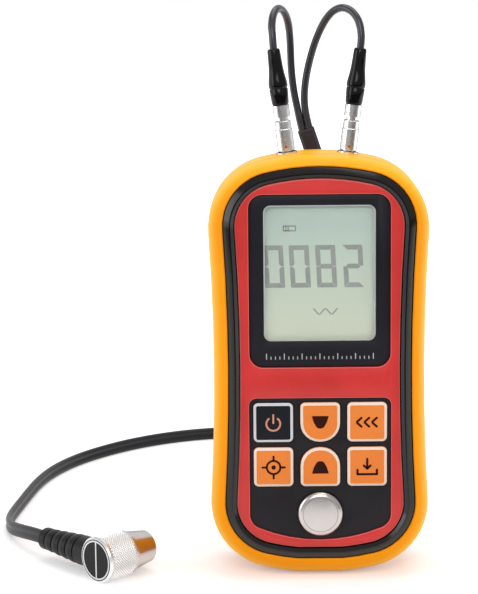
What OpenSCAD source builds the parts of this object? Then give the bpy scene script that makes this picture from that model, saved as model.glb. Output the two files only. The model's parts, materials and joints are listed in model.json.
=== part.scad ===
// Hand-held ultrasonic thickness gauge with a two-crystal probe on a twin lead.
// +Z runs up the gauge, its face looks along -Y, and the origin is the middle of its flat base.

/* [Case] */
// Height of the case
case_h = 145.2; // [136:0.2:160]
// Width of the case at its shoulders, where it is widest
shoulder_w = 75; // [70:0.5:84]
// How far each side draws in at the waist
waist_in = 1.5; // [0.6:0.1:2.4]
// Radius of the four case corners, seen from the front
corner_r = 23.5; // [21:0.5:26]
// Radius of the crowned top and bottom edges
crown_r = 85; // [75:1:120]
// Width of the flat that the case stands on
base_w = 16; // [12:1:24]
// Middle plane of the case to the front of its rim
front_d = 17.5; // [16.5:0.1:19]
// Middle plane of the case to its flat back
back_d = 18; // [17.5:0.1:21]
// Middle plane to the parting line of the two shells
split_f = 3; // [1:0.2:5]
// Wall of both shells
wall = 2.4; // [1.8:0.1:3]
// Width of the rounded front rim, across the face
rim_w = 6.6; // [5.8:0.1:7.2]
// Depth of the rounded front rim
rim_d = 11.5; // [7:0.1:12.5]
// Radius of the rounded back edge
back_r = 8; // [5:0.1:8.4]

/* [Face] */
// How far the face sits above the middle of the case front
face_up = 2.2; // [1:0.1:2.6]
// Visible width of the case rim round the trim ring
rim_in = 5; // [4.6:0.1:5.4]
// Width of the trim ring
ring_w = 3.75; // [3.2:0.05:4.2]
// Height of the trim ring's crest over the case rim
ring_crest = 0.5; // [0:0.1:1]
// Thickness of the face panel
panel_t = 3.4; // [3.2:0.1:4]
// How far the face panel lies under the case rim
panel_sink = 0.5; // [0.2:0.1:1]
// Width of the display bezel
bezel_w = 47.3; // [44:0.1:49]
// Height of the display bezel
bezel_h = 58.5; // [56:0.1:60]
// Top edge of the face panel to the bezel
bezel_drop = 5.5; // [5:0.1:7]
// Radius of the bezel's corners
bezel_r = 4.5; // [2.5:0.1:6]
// How far the bezel lies under the face panel
bezel_sink = 0.8; // [0.4:0.1:1]
// Width of the display window
window_w = 37.6; // [32:0.1:39]
// Height of the display window
window_h = 46.1; // [40:0.1:47]
// Middle of the window over the middle of the bezel
window_up = 2.6; // [1.5:0.1:2.8]
// Radius of the window's corners
window_r = 2.4; // [1:0.1:4]

/* [Keypad] */
// Width of the keypad overlay
pad_w = 47.8; // [47:0.1:49]
// Top edge of the overlay over the base
pad_top = 63.5; // [63.4:0.1:64.5]
// Lowest point of the overlay's curved bottom edge over the base
pad_low = 14.1; // [13:0.1:14.5]
// How far the overlay lies under the face panel
pad_sink = 0.6; // [0.4:0.1:0.8]
// Thickness of the overlay
pad_t = 1.2; // [0.8:0.1:1.3]
// Width of a key
key_w = 13.4; // [11:0.1:13.5]
// Height of a key
key_h = 13.6; // [11:0.1:13.8]
// Pitch of the key columns
key_px = 15.9; // [15.4:0.1:16]
// Pitch of the key rows
key_pz = 15.55; // [15.2:0.05:15.6]
// Middle of the lower key row over the base
key_z = 39.75; // [39.6:0.05:40]
// How far a key stands over the overlay
key_rise = 1.1; // [0.9:0.1:1.6]
// Travel of a key
key_travel = 0.8; // [0.4:0.1:0.8]
// Diameter of the steel test block
block_d = 15.7; // [13:0.1:16]
// Thickness of the steel test block
block_t = 4; // [3.6:0.1:4.2]
// Middle of the test block over the base
block_z = 23.1; // [22.8:0.1:23.3]

/* [Battery bay] */
// Diameter of a battery cell
cell_d = 10.5; // [9.5:0.1:10.8]
// Length of a battery cell
cell_l = 44.5; // [42:0.1:46]
// Length of a contact spring
spring_l = 5.4; // [4:0.1:6.5]
// Lower end of the battery bay over the base
bay_z = 13.5; // [13:0.1:15]
// Thickness of the battery door
door_t = 1.9; // [1.6:0.1:2.1]
// How far the battery door swings out, in degrees
door_swing = 35; // [10:1:35]

/* [Sockets and plugs] */
// Distance of each socket from the middle of the case
socket_x = 10.4; // [9.4:0.1:11.4]
// Distance of the sockets behind the middle plane
socket_y = 4.5; // [3.5:0.1:6]
// Lean of each socket away from the middle, in degrees
socket_lean = 7; // [4:0.5:8]
// Diameter of the plug's release sleeve
sleeve_d = 5.8; // [5.4:0.1:6.2]
// Length of the plug's release sleeve
sleeve_l = 10.4; // [8:0.1:10.8]
// Pull of the release sleeve
sleeve_pull = 1; // [0.6:0.1:1.2]
// Length of the plug from the socket to its boot
plug_l = 16; // [15.4:0.1:17]
// Length of the plug's boot
boot_l = 19.2; // [16:0.1:20]

/* [Probe] */
// Diameter of the probe body
probe_d = 16; // [15.4:0.1:17]
// Length of the probe body from its label to the tip
probe_l = 12.6; // [12.2:0.1:14.4]
// Length of the tapered tip
tip_l = 10.6; // [9:0.1:12]
// Diameter of the contact face
tip_d = 10.4; // [10:0.1:11.6]
// Diameter of the two sound guides together
guide_d = 8.4; // [7:0.1:8.6]
// Turn of the probe on the table, in degrees
probe_turn = 45; // [40:1:50]
// Length of the probe's ribbed boot
probe_boot_l = 26; // [24:0.1:28]

/* [Leads] */
// Diameter of a single lead
lead_d = 2.6; // [2.2:0.1:2.8]

/* [Hidden] */
$fn = 48;

// Clearances
fit = 0.15;        // between seated pieces, each side
slide_gap = 0.3;   // running fit of the release sleeves, on the radius
over = 0.5;        // how far joined shapes and cutters run into each other
lap = 0.1;         // how far stacked shapes run into each other

// Outline of the case: flat base, crowned ends, round corners and drawn-in sides
base_sag = crown_r - sqrt(pow(crown_r, 2) - pow(base_w / 2, 2));
corner_x = shoulder_w / 2 - corner_r;
corner_lift = crown_r - sqrt(pow(crown_r - corner_r, 2) - pow(corner_x, 2));
low_z = corner_lift - base_sag;
high_z = case_h - corner_lift;
waist_z = (low_z + high_z) / 2;
half_span = (high_z - low_z) / 2;
waist_x = shoulder_w / 2 - waist_in;
side_reach = waist_x - corner_x;
side_r = (pow(side_reach, 2) + pow(half_span, 2) - pow(corner_r, 2)) / (2 * (corner_r - side_reach));
side_a = asin(half_span / (side_r + corner_r));
crown_a = asin(corner_x / (crown_r - corner_r));
corner_n = 11;
side_n = 6;
crown_n = 4;
base_n = 2;

// Depths towards the front, from the middle plane
split_v = 0.4;
rim_edge = 0.45;
ring_side = 1.5;
ring_edge = 0.4;
ring_fall = 0.9;
crest_from = 0.56;
crest_to = 0.68;
panel_edge = 0.4;
panel_f = front_d - panel_sink;
seat_f = panel_f - panel_t;
ledge_t = 2;
ledge_f = seat_f - ledge_t;
ledge_w = 6;
ledge_in = rim_in + ledge_w;
board_t = 1.6;
pad_lift = 0.4;
board_f = ledge_f - pad_lift;
board_back_f = board_f - board_t;
bezel_f = panel_f - bezel_sink;
bezel_seat_t = 0.8;
bezel_back_f = seat_f + bezel_seat_t;
bezel_ledge = 1.4;
ledge_r = 1.2;
lip_t = 0.7;
lens_lap = 1.3;
lens_gap = 0.1;
pad_f = panel_f - pad_sink;
pad_back_f = pad_f - pad_t;
panel_in = rim_in + ring_w + 2 * fit;
bezel_z = case_h - panel_in + face_up - bezel_drop - bezel_h / 2;
window_z = bezel_z + window_up;
light_t = 1.2;
light_gap = 0.45;
light_rim = 2.1;
light_up = 0.65;
light_w = bezel_w - 2 * bezel_ledge - 2 * light_gap;
light_h = bezel_h - 2 * bezel_ledge - 2 * light_rim;
light_z = bezel_z + light_up;

// Keypad
pad_corner_r = 5;
pad_sweep_r = 54;
key_corner_r = 1.6;
key_round_in = 0.3;
key_round_r = key_w / 2 - key_round_in;
pad_top_r = key_corner_r + 0.8;
key_bevel = 0.9;
key_bevel_d = 0.55;
key_flange = 0.6;
key_flange_t = 0.8;
key_back_gap = 0.2;
key_flange_f = pad_back_f - key_back_gap;
stem_d = 5;
dome_d = 5.6;
dome_h = 0.5;
mat_t = 0.8;
stem_gap = 0.1;
stem_f = board_f + mat_t + dome_h + key_travel + stem_gap;
keys_w = 2 * key_px + key_w;
keys_low = key_z - key_h / 2 - key_flange;
keys_high = key_z + key_pz + key_h / 2 + key_flange;

block_gap = 0.1;
block_rise = 1.8;
block_back_f = pad_f + block_rise - block_t;
block_bevel = 1.5;
block_flat_in = 2;

// Shell bosses: case screws and board screws, as [x, z] on the right-hand side
case_boss_in = 6.2;
case_boss_up = 39;
board_boss_in = 8;
board_boss_up = 19;
case_boss = [for (s = [-1, 1]) [waist_x - case_boss_in, waist_z + s * case_boss_up]];
board_boss = [for (s = [-1, 1]) [waist_x - board_boss_in, waist_z + s * board_boss_up]];
boss_r = 3.5;
board_boss_r = 2.3;
case_screw_r = 1.3;
case_screw_head_r = 2.6;
case_screw_head_h = 2;
case_head_y = 8;
case_pilot_r = 1.1;
case_pilot_l = 7;
board_screw_r = 0.75;
board_screw_head_r = 1.9;
board_screw_head_h = 1.4;
board_screw_l = 3.4;
screw_gap = 0.2;
pilot_gap = 0.05;
boss_gap = 0.6;
shell_gap = 0.2;
board_gap = 2.1;
slot_w = 0.5;
processor_w = 14;
timing_w = 9;
processor_legs = 10;
timing_legs = 7;
chip_t = 1.5;
leg_w = 0.4;
leg_l = 1;
part_up = 45;
part_z = waist_z + part_up;
part_out = 13.5;
coil_d = 8;
coil_h = 5;
coil_flange_t = 1;
coil_wind = 1.2;

// Battery bay and door
cell_gap = 0.7;
cell_pitch = cell_d + cell_gap;
contact_t = 0.4;
bay_gap = 0.5;
bay_w = 2 * cell_pitch + cell_d + 2 * bay_gap;
bay_l = cell_l + spring_l + 2 * contact_t;
bay_top = bay_z + bay_l;
bay_wall = 1.4;
door_seat_gap = 0.1;
door_seat_y = back_d - door_t - door_seat_gap;
cell_y = door_seat_y - bay_gap - cell_d / 2;
bay_y = cell_y - cell_d / 2 - bay_gap / 2;
door_lap = 1;
door_gap = 0.2;
door_low = bay_z - door_lap;
door_high = bay_top + door_lap;
door_w = bay_w + 2 * door_lap;
door_r = 2;
tab_x = cell_pitch / 2;
tab_w = 4;
tab_t = 1.4;
tab_reach = 2;
tab_root = 2.6;
tab_play = 0.8;
catch_w = 6;
catch_t = 1.4;
catch_d = 1.5;
back_t = 2.2;
tab_y = back_d - back_t - door_gap;
tab_low = door_low - tab_reach;
// Room behind the tabs, for their turn about the lower edge of the door
tab_deep = back_t + door_gap + tab_t;
tab_room = tab_deep * (cos(door_swing) - 1) + (tab_reach + door_gap) * sin(door_swing) + tab_play;
latch_w = 12;
latch_h = 9;
latch_slot = 1;
groove_n = 4;
groove_w = 1;
groove_d = 0.5;
groove_l = 9;
groove_from = 3;
scoop_r = 14;
scoop_d = 1.3;
scoop_up = 3.2;
spring_r = 2.9;
spring_wire = 0.35;
spring_turns = 3;
cell_nub_h = 0.9;
cell_nub_d = 3.8;
contact_w = 8;
contact_h = 7;

// Sockets and plugs, along an axis that leans with the crowned top
socket_z = case_h - (crown_r - sqrt(pow(crown_r, 2) - pow(socket_x, 2)));
socket_r = 2.5;
socket_flange_r = 3.5;
socket_flange_t = 1;
socket_sink = 0.5;
socket_l = 9;
socket_gap = 0.1;
socket_bore_r = 1.95;
socket_bore_l = 6.2;
socket_pin_r = 0.45;
socket_pin_l = 4.7;
socket_boss_r = 5.2;
socket_boss_d = wall + 0.8;
nut_af = 7;
nut_t = 1.8;
plug_z = socket_flange_t - socket_sink;
sleeve_wall = 0.7;
sleeve_edge = 0.3;
sleeve_neck_l = 3;
sleeve_step = 0.2;
plug_core_r = sleeve_d / 2 - sleeve_wall - slide_gap;
plug_nose_r = 1.9;
plug_nose_l = 5;
plug_bore_r = 0.8;
sleeve_z = plug_z + slide_gap;
collar_z = sleeve_z + sleeve_l + sleeve_pull + slide_gap;
collar_r = 2.8;
stub_r = 1.6;
stub_l = 6;
boot_z = plug_z + plug_l;
boot_end_r = 2.2;
boot_step = 0.35;
boot_edge = 0.3;
boot_swell = 0.1;

// Probe, lying on its side on the table
probe_at = [-76.9, -19.3, probe_d / 2];
probe_r = probe_d / 2;
probe_wall = 1.8;
label_t = 0.5;
label_rim = 1.1;
label_r = probe_r - label_rim;
cap_edge = 0.5;
cap_l = 0.9;
cap_groove_d = 0.15;
cap_t = 2.2;
boot_s = 6;
boot_drop = 0.6;
boot_seat_r = 4.8;
boot_seat_up = 0.3;
boot_seat = probe_r + boot_seat_up;
boot_neck_r = 3.1;
boot_root_l = 5.4;
boot_rib_n = 4;
boot_pitch = 4.2;
boot_out_r = 5.2;
boot_tail_r = 3.9;
boot_groove_d = 0.9;
boot_groove_w = 1;
boot_bulge = 0.25;
tip_skirt_l = 5.4;
tip_edge = 0.4;
tip_step = 0.5;
tip_shoulder_r = probe_r - tip_step;
tip_shoulder_l = 0.8;
guide_in = 2.6;
guide_l = tip_l + guide_in;
guide_s = probe_l + tip_l - guide_l;
crystal_t = 0.6;
backing_l = 5.4;
barrier_t = 0.5;

// Ends of the leads: in the plug boots, in the splitter and in the probe's boot
grip = 0.5;
boot_tip_h = boot_z + boot_l - grip;
left_tip = [-socket_x - boot_tip_h * sin(socket_lean), socket_y, socket_z + boot_tip_h * cos(socket_lean)];
right_tip = [-left_tip[0], left_tip[1], left_tip[2]];
splitter_from = [-3.5, back_d + 5.5, case_h + 5.8];
splitter_to = splitter_from + [5, 2.5, -15];
splitter_wall = 0.35;
splitter_edge = 0.5;
splitter_run = unit(splitter_to - splitter_from);
splitter_side = unit([1, 0, 0] - splitter_run[0] * splitter_run);
left_end = splitter_from + grip * splitter_run - lead_d / 2 * splitter_side;
right_end = splitter_from + grip * splitter_run + lead_d / 2 * splitter_side;
tail_reach = boot_seat + probe_boot_l - grip;
tail_at = probe_at + [boot_s * cos(probe_turn) - tail_reach * sin(probe_turn),
    boot_s * sin(probe_turn) + tail_reach * cos(probe_turn), -boot_drop];

// Lead routes. The leads rise from the boots, turn over backwards and meet behind the case;
// the twin lead drops to the table, sweeps round behind the case and comes forward to the probe.
left_route = [[-14.6, 4.5, 179.5], [-15, 4.7, 184], [-15.2, 6.2, 188], [-14.5, 9, 191.6],
    [-12.9, 12.8, 193.2], [-11, 16.6, 191.9], [-9.6, 19.8, 188.6], [-8.9, 21.8, 184], [-8.6, 23, 178.5],
    [-8.4, 23.5, 173], [-8, 23.6, 168], [-7.3, 23.6, 163], [-6.3, 23.5, 158], [-5.6, 23.4, 154.5],
    [-4.6, 23.6, 150.2]];
right_route = [[14.6, 4.5, 179.5], [15, 4.7, 184], [14.3, 5.8, 188.5], [12.3, 7.8, 191.8],
    [9.3, 10.4, 193.3], [6.2, 13.2, 192.3], [3.6, 15.8, 189.4], [1.5, 18.2, 185.4],
    [-0.3, 20.2, 180.8], [-1.8, 21.8, 175.6], [-3, 22.8, 170.2], [-3.7, 23.3, 165], [-3.8, 23.5, 160],
    [-3.2, 23.4, 155.5], [-2.1, 23.5, 151]];
// The fourth value turns the flat of the twin lead from level, 0, to upright, 1
twin_route = [[1.3, 25.9, 136.5, 0], [4, 28, 124, 0], [6, 31, 112, 0], [7.5, 35, 100, 0],
    [9, 39.5, 88, 0], [10, 44.5, 76, 0], [11, 50, 64, 0], [12, 56.5, 52, 0], [13, 64, 40, 0],
    [13.5, 72.5, 29, 0], [14, 82.5, 19, 0], [14.5, 94, 10.5, 0], [15, 107, 4.5, 0],
    [15, 121, 1.8, 0], [14, 135, 1.8, 0.15], [11, 149, 2.3, 0.45], [5, 162, 2.7, 0.8],
    [-4, 172, 2.6, 1], [-16, 178.5, 2.6, 1], [-28.5, 181, 2.6, 1], [-41, 179.5, 2.6, 1],
    [-53.5, 175.5, 2.6, 1], [-65.5, 169, 2.6, 1], [-76.5, 160.5, 2.6, 1], [-86.5, 150, 2.6, 1],
    [-95, 138.5, 2.6, 1], [-101.6, 126, 2.6, 1], [-106.2, 113.2, 2.6, 1], [-109.2, 99.7, 2.6, 1],
    [-111.1, 86, 2.6, 1], [-112.6, 72.4, 2.6, 1], [-113.9, 60, 2.6, 1], [-114.5, 50.6, 2.7, 1],
    [-113.9, 41.8, 3.2, 1], [-111.6, 33, 4.1, 1], [-107.2, 24.2, 5.5, 1], [-101.9, 15.9, 6.8, 1],
    [-96.5, 8.8, 7.4, 1]];
drawn_d = 2.6;  // lead diameter at which the routes lie on the table
lead_pull = 14;
twin_pull = 5;

function arc(c, r, a0, a1, n) =
    [for (i = [0 : n]) let (a = a0 + (a1 - a0) * i / n) [c[0] + r * cos(a), c[1] + r * sin(a)]];
function tail(list) = [for (i = [1 : len(list) - 1]) list[i]];

// Right half of the case outline, drawn in by t, from the base to the crown
function half_outline(t) =
    let (flat_a = acos((crown_r - base_sag - t) / (crown_r - t)))
    concat(
        arc([0, crown_r - base_sag], crown_r - t, flat_a - 90, crown_a - 90, base_n),
        tail(arc([corner_x, low_z], corner_r - t, crown_a - 90, side_a, corner_n)),
        tail(arc([waist_x + side_r, waist_z], side_r + t, 180 + side_a, 180 - side_a, side_n)),
        tail(arc([corner_x, high_z], corner_r - t, -side_a, 90 - crown_a, corner_n)),
        tail(arc([0, case_h - crown_r], crown_r - t, 90 - crown_a, 90, crown_n)));
function outline(t) =
    let (right = half_outline(t))
    concat(right, [for (i = [len(right) - 2 : -1 : 0]) [-right[i][0], right[i][1]]]);

// Keypad overlay outline, drawn in by t
function pad_outline(t) =
    let (x = pad_w / 2 - pad_corner_r,
        z = pad_low + pad_sweep_r - sqrt(pow(pad_sweep_r - pad_corner_r, 2) - pow(x, 2)),
        a = asin(x / (pad_sweep_r - pad_corner_r)),
        r = pad_top_r)
    concat(
        arc([0, pad_low + pad_sweep_r], pad_sweep_r - t, -90 - a, a - 90, 8),
        tail(arc([x, z], pad_corner_r - t, a - 90, 0, 6)),
        arc([pad_w / 2 - r, pad_top - r], r - t, 0, 90, 5),
        arc([r - pad_w / 2, pad_top - r], r - t, 90, 180, 5),
        arc([-x, z], pad_corner_r - t, 180, 270 - a, 6));

// Rounded plate outline with its own radii above and below, drawn in by t
function plate(w, h, above_r, below_r, t = 0) =
    let (x = w / 2 - t, z = h / 2 - t, a = above_r - t, b = below_r - t)
    concat(arc([x - b, b - z], b, -90, 0, 6), arc([x - a, z - a], a, 0, 90, 6),
        arc([a - x, z - a], a, 90, 180, 6), arc([b - x, b - z], b, 180, 270, 6));

function at_depth(ring, f) = [for (p = ring) [p[0], p[1], f]];
function unit(v) = v / norm(v);
function spot(p) = [p[0], p[1], p[2]];
// A route with its ends drawn to where they belong, fading out over some points
function pulled(route, from, to, reach) =
    let (n = len(route) - 1, lift = [0, 0, lead_d - drawn_d],
        a = from - spot(route[0]) - lift, b = to - spot(route[n]) - lift)
    [for (i = [0 : n])
        let (p = spot(route[i]) + lift + max(0, 1 - i / reach) * a + max(0, 1 - (n - i) / reach) * b)
        [p[0], p[1], p[2], len(route[i]) > 3 ? route[i][3] : 0]];

// Directions and rings along a route; section points are [across, through]
function heading(route, i) =
    unit(route[min(i + 1, len(route) - 1)] - route[max(i - 1, 0)]);
function ring_on(p, along, side, section) =
    let (across = unit(side - (side * along) * along), through = cross(along, across))
    [for (s = section) p + across * s[0] + through * s[1]];
function route_rings(route, section) =
    let (path = [for (p = route) spot(p)])
    [for (i = [0 : len(path) - 1])
        ring_on(path[i], heading(path, i), [1 - route[i][3], 0, route[i][3]], section)];
function octagon(d) = [for (i = [0 : 7]) [d / 2 * cos(i * 45 + 22.5), d / 2 * sin(i * 45 + 22.5)]];
function flat_octagon(w, t) =
    [for (q = [[1, 1], [-1, 1], [-1, -1], [1, -1]])
        each (q[0] * q[1] > 0
            ? [[q[0] * w / 2, q[1] * t * 0.22], [q[0] * (w / 2 - t * 0.28), q[1] * t / 2]]
            : [[q[0] * (w / 2 - t * 0.28), q[1] * t / 2], [q[0] * w / 2, q[1] * t * 0.22]])];

// Solid through a list of rings, with end caps, or joined end to end when it is a loop
module skin(rings, loop = false) {
    n = len(rings[0]);
    m = len(rings);
    last = loop ? m - 1 : m - 2;
    sides = [for (k = [0 : last]) for (i = [0 : n - 1])
        let (j = (i + 1) % n, l = (k + 1) % m)
        each [[k * n + i, l * n + i, l * n + j], [k * n + i, l * n + j, k * n + j]]];
    caps = [[for (i = [0 : n - 1]) i], [for (i = [n - 1 : -1 : 0]) (m - 1) * n + i]];
    polyhedron([for (r = rings) each r], loop ? sides : concat(sides, caps), convexity = 8);
}

// Draws in the plane of the face: x across, y up, z towards the front
module face() {
    rotate([90, 0, 0]) children();
}
module slab(f0, f1) {
    face() translate([0, 0, f0]) linear_extrude(f1 - f0) children();
}
// Profiles of [drawn in by, depth towards the front, lift], swept round the case outline
module swept(profile, loop = false) {
    face() skin([for (p = profile) [for (q = outline(p[0])) [q[0], q[1] + p[2], p[1]]]], loop);
}
module at_bosses(places) {
    for (p = places) for (s = [-1, 1]) face() translate([s * p[0], p[1], 0]) children();
}
module screw(head_r, head_h, shank) {
    // The shank is a list of [radius, length], starting under the head
    difference() {
        cylinder(r = head_r, h = head_h);
        for (a = [0, 90])
            rotate(a) translate([-head_r * 0.6, -slot_w / 2, -over])
                cube([head_r * 1.2, slot_w, head_h * 0.5 + over]);
    }
    translate([0, 0, head_h - lap]) cylinder(r = shank[0][0], h = shank[0][1] + lap);
    if (len(shank) > 1)
        translate([0, 0, head_h + shank[0][1] - lap]) cylinder(r = shank[1][0], h = shank[1][1] + lap);
}

module rear_case() {
    color("orange") difference() {
        union() {
            swept(concat(
                [for (a = [0 : 15 : 90]) [back_r * (1 - sin(a)), back_r * (1 - cos(a)) - back_d, 0]],
                [[0, split_f - split_v, 0], [split_v, split_f, 0], [wall, split_f, 0],
                 [wall, back_r - back_d, 0], [wall + 2, back_t + wall - back_d, 0],
                 [back_r, back_t - back_d, 0]]));
            at_bosses(case_boss) translate([0, 0, -back_d + back_t - over])
                cylinder(r = boss_r, h = back_d - back_t + split_f + over - shell_gap);
            translate([-bay_w / 2 - bay_wall, bay_y - bay_wall, bay_z - bay_wall])
                cube([bay_w + 2 * bay_wall, back_d - back_t - bay_y + bay_wall + over,
                    bay_l + 2 * bay_wall]);
            for (s = [-1, 1]) at_socket(s) translate([0, 0, -socket_boss_d])
                cylinder(r = socket_boss_r, h = socket_boss_d - socket_sink - over);
        }
        translate([-bay_w / 2, bay_y, bay_z]) cube([bay_w, back_d - bay_y + over, bay_l]);
        door_outline_cut();
        for (s = [-1, 1])
            translate([s * tab_x - tab_w / 2 - door_gap, tab_y - tab_t - tab_room, tab_low - door_gap])
                cube([tab_w + 2 * door_gap, tab_t + tab_room + door_gap, tab_reach + door_lap + over]);
        translate([0, back_d + scoop_r - scoop_d, door_high + scoop_up]) sphere(r = scoop_r);
        at_bosses(case_boss) {
            translate([0, 0, -back_d - over])
                cylinder(r = case_screw_head_r + screw_gap, h = back_d - case_head_y + over);
            translate([0, 0, -case_head_y - over])
                cylinder(r = case_screw_r + screw_gap, h = case_head_y + split_f + 1);
        }
        for (s = [-1, 1]) at_socket(s) {
            translate([0, 0, -socket_sink]) cylinder(r = socket_flange_r + socket_gap, h = socket_boss_d);
            translate([0, 0, -socket_boss_d - over])
                cylinder(r = socket_r + socket_gap, h = socket_boss_d + 1);
        }
    }
}

// Pocket for the battery door in the back of the case
module door_outline_cut() {
    translate([0, back_d + over, (door_low + door_high) / 2]) rotate([90, 0, 0])
        linear_extrude(back_d - door_seat_y + over)
            polygon(plate(door_w, door_high - door_low, door_r, door_r));
}

module front_case() {
    color("orange") difference() {
        union() {
            swept(concat(
                [[wall, split_f, 0], [split_v, split_f, 0], [0, split_f + split_v, 0]],
                [for (a = [0 : 13 : 65])
                    let (t = rim_w * (1 - cos(a))) [t, rim_top(t), face_up * t / rim_in]],
                [[rim_in - rim_edge, rim_top(rim_in - rim_edge), face_up],
                 [rim_in, rim_top(rim_in) - rim_edge, face_up], [rim_in, seat_f, face_up],
                 [ledge_in, seat_f, face_up], [ledge_in, ledge_f, face_up],
                 [wall, ledge_f, 0]]), true);
            at_bosses(case_boss) translate([0, 0, split_f + shell_gap])
                cylinder(r = boss_r, h = ledge_f - split_f - shell_gap + over);
            at_bosses(board_boss) translate([0, 0, board_f])
                cylinder(r = board_boss_r, h = ledge_f - board_f + over);
        }
        at_bosses(case_boss) translate([0, 0, split_f]) cylinder(r = case_pilot_r, h = case_pilot_l + over);
        at_bosses(board_boss) translate([0, 0, board_f - over])
            cylinder(r = board_screw_r + pilot_gap, h = board_screw_l - board_t + 2 * over);
    }
}
// Front of the case rim, drawn in by t
function rim_top(t) = front_d - rim_d + rim_d * sqrt(1 - pow(1 - t / rim_w, 2));

module trim_ring() {
    a = rim_in + fit;
    b = rim_in + ring_w;
    crest = front_d + ring_crest;
    profile = [[a, seat_f], [a, crest - ring_side], [a + ring_edge, crest - ring_side + ring_edge],
        [a + ring_w * crest_from, crest], [a + ring_w * crest_to, crest], [b, crest - ring_fall],
        [b, seat_f]];
    color("black") swept([for (p = profile) [p[0], p[1], face_up]], true);
}

module face_panel() {
    color("firebrick") difference() {
        swept([[panel_in, seat_f, face_up], [panel_in, panel_f - panel_edge, face_up],
            [panel_in + panel_edge, panel_f, face_up]]);
        slab(bezel_back_f, panel_f + over) translate([0, bezel_z])
            polygon(plate(bezel_w + 2 * fit, bezel_h + 2 * fit, bezel_r + fit, bezel_r + fit));
        slab(seat_f - over, bezel_back_f + over) translate([0, bezel_z])
            polygon(plate(bezel_w - 2 * bezel_ledge, bezel_h - 2 * bezel_ledge, ledge_r, ledge_r));
        slab(pad_back_f, panel_f + over) polygon(pad_outline(-fit));
        slab(seat_f - over, pad_back_f + over) translate([0, (keys_low + keys_high) / 2])
            square([keys_w + 4 * fit, keys_high - keys_low + 4 * fit], center = true);
        face() translate([0, block_z, block_back_f]) cylinder(d = block_d + 2 * block_gap, h = panel_t);
    }
}

module window_bezel() {
    rebate_r = window_r + lens_lap;
    color("#232126") difference() {
        slab(bezel_back_f, bezel_f) translate([0, bezel_z])
            polygon(plate(bezel_w, bezel_h, bezel_r, bezel_r));
        slab(bezel_back_f - over, bezel_f + over) translate([0, window_z])
            polygon(plate(window_w, window_h, window_r, window_r));
        slab(bezel_back_f - over, bezel_f - lip_t) translate([0, window_z])
            polygon(plate(window_w + 2 * lens_lap, window_h + 2 * lens_lap, rebate_r, rebate_r));
    }
}

module display_lens() {
    r = window_r + lens_lap - lens_gap;
    color("lightcyan", 0.4) slab(bezel_back_f + lens_gap / 2, bezel_f - lip_t) translate([0, window_z])
        polygon(plate(window_w + 2 * (lens_lap - lens_gap), window_h + 2 * (lens_lap - lens_gap), r, r));
}

module lcd_panel() {
    color("#b4c0b4") slab(board_f + light_t, bezel_back_f - fit) translate([0, light_z])
        square([light_w, light_h], center = true);
}

module backlight() {
    color("white") slab(board_f, board_f + light_t) translate([0, light_z])
        square([light_w, light_h], center = true);
}

module keypad_overlay() {
    color("#28252c") difference() {
        slab(pad_back_f, pad_f) polygon(pad_outline(0));
        for (c = [-1 : 1]) for (r = [0, 1])
            slab(pad_back_f - over, pad_f + over) translate([c * key_px, key_z + r * key_pz])
                polygon(key_shape(c, r, -fit));
        face() translate([0, block_z, pad_back_f - over])
            cylinder(d = block_d + 2 * block_gap, h = pad_t + 1);
    }
}
// The middle key of each row is round at the end away from its arrow's base
function key_shape(c, r, t) =
    plate(key_w, key_h, c == 0 && r == 0 ? key_round_r : key_corner_r,
        c == 0 && r == 1 ? key_round_r : key_corner_r, t);

module keypad_mat() {
    color("dimgray") {
        slab(board_f, board_f + mat_t) translate([0, key_z + key_pz / 2])
            square([keys_w, key_pz + key_h], center = true);
        for (c = [-1 : 1]) for (r = [0, 1])
            face() translate([c * key_px, key_z + r * key_pz, board_f + mat_t - lap])
                cylinder(d = dome_d, h = dome_h + lap);
    }
}

module key(c, r, tint) {
    top_f = pad_f + key_rise;
    color(tint) face() translate([c * key_px, key_z + r * key_pz, 0]) {
        skin([at_depth(key_shape(c, r, 0), key_flange_f - lap),
            at_depth(key_shape(c, r, 0), top_f - key_bevel_d), at_depth(key_shape(c, r, key_bevel), top_f)]);
        translate([0, 0, key_flange_f - key_flange_t]) linear_extrude(key_flange_t)
            square([key_w - 2 * fit, key_h + 2 * key_flange], center = true);
        translate([0, 0, stem_f]) cylinder(d = stem_d, h = key_flange_f - stem_f - lap);
    }
}
module power_key() { key(-1, 1, "#161a20"); }
module down_key() { key(0, 1, "darkorange"); }
module speed_key() { key(1, 1, "darkorange"); }
module zero_key() { key(-1, 0, "darkorange"); }
module up_key() { key(0, 0, "darkorange"); }
module save_key() { key(1, 0, "darkorange"); }

module test_block() {
    r = block_d / 2;
    h = block_t;
    bevel = [for (a = [0 : 22.5 : 90])
        [r - block_flat_in * (1 - cos(a)), h - block_bevel * (1 - sin(a))]];
    color("silver") face() translate([0, block_z, block_back_f])
        rotate_extrude() polygon(concat([[0, 0], [r, 0]], bevel, [[0, h]]));
}

module circuit_board() {
    color("seagreen") difference() {
        slab(board_back_f, board_f) polygon(outline(wall + board_gap));
        at_bosses(case_boss) translate([0, 0, board_back_f - over])
            cylinder(r = boss_r + boss_gap, h = board_t + 1);
        at_bosses(board_boss) translate([0, 0, board_back_f - over])
            cylinder(r = board_screw_r + screw_gap, h = board_t + 1);
    }
}

// A chip on the back of the board: body and a row of legs on two sides
module chip(x, z, w, legs) {
    face() translate([x, z, board_back_f]) {
        translate([-w / 2, -w / 2, -chip_t]) cube([w, w, chip_t - leg_w / 2]);
        for (i = [0 : legs - 1]) for (s = [-1, 1])
            translate([(s * (w + leg_l - lap) - leg_l) / 2, (i + 0.5) * w / legs - (w + leg_w) / 2, -leg_w])
                cube([leg_l, leg_w, leg_w]);
    }
}
module processor_chip() {
    color("#202024") chip(0, part_z - processor_w - leg_l, processor_w, processor_legs);
}
module timing_chip() { color("#202024") chip(-part_out, part_z, timing_w, timing_legs); }

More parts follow.
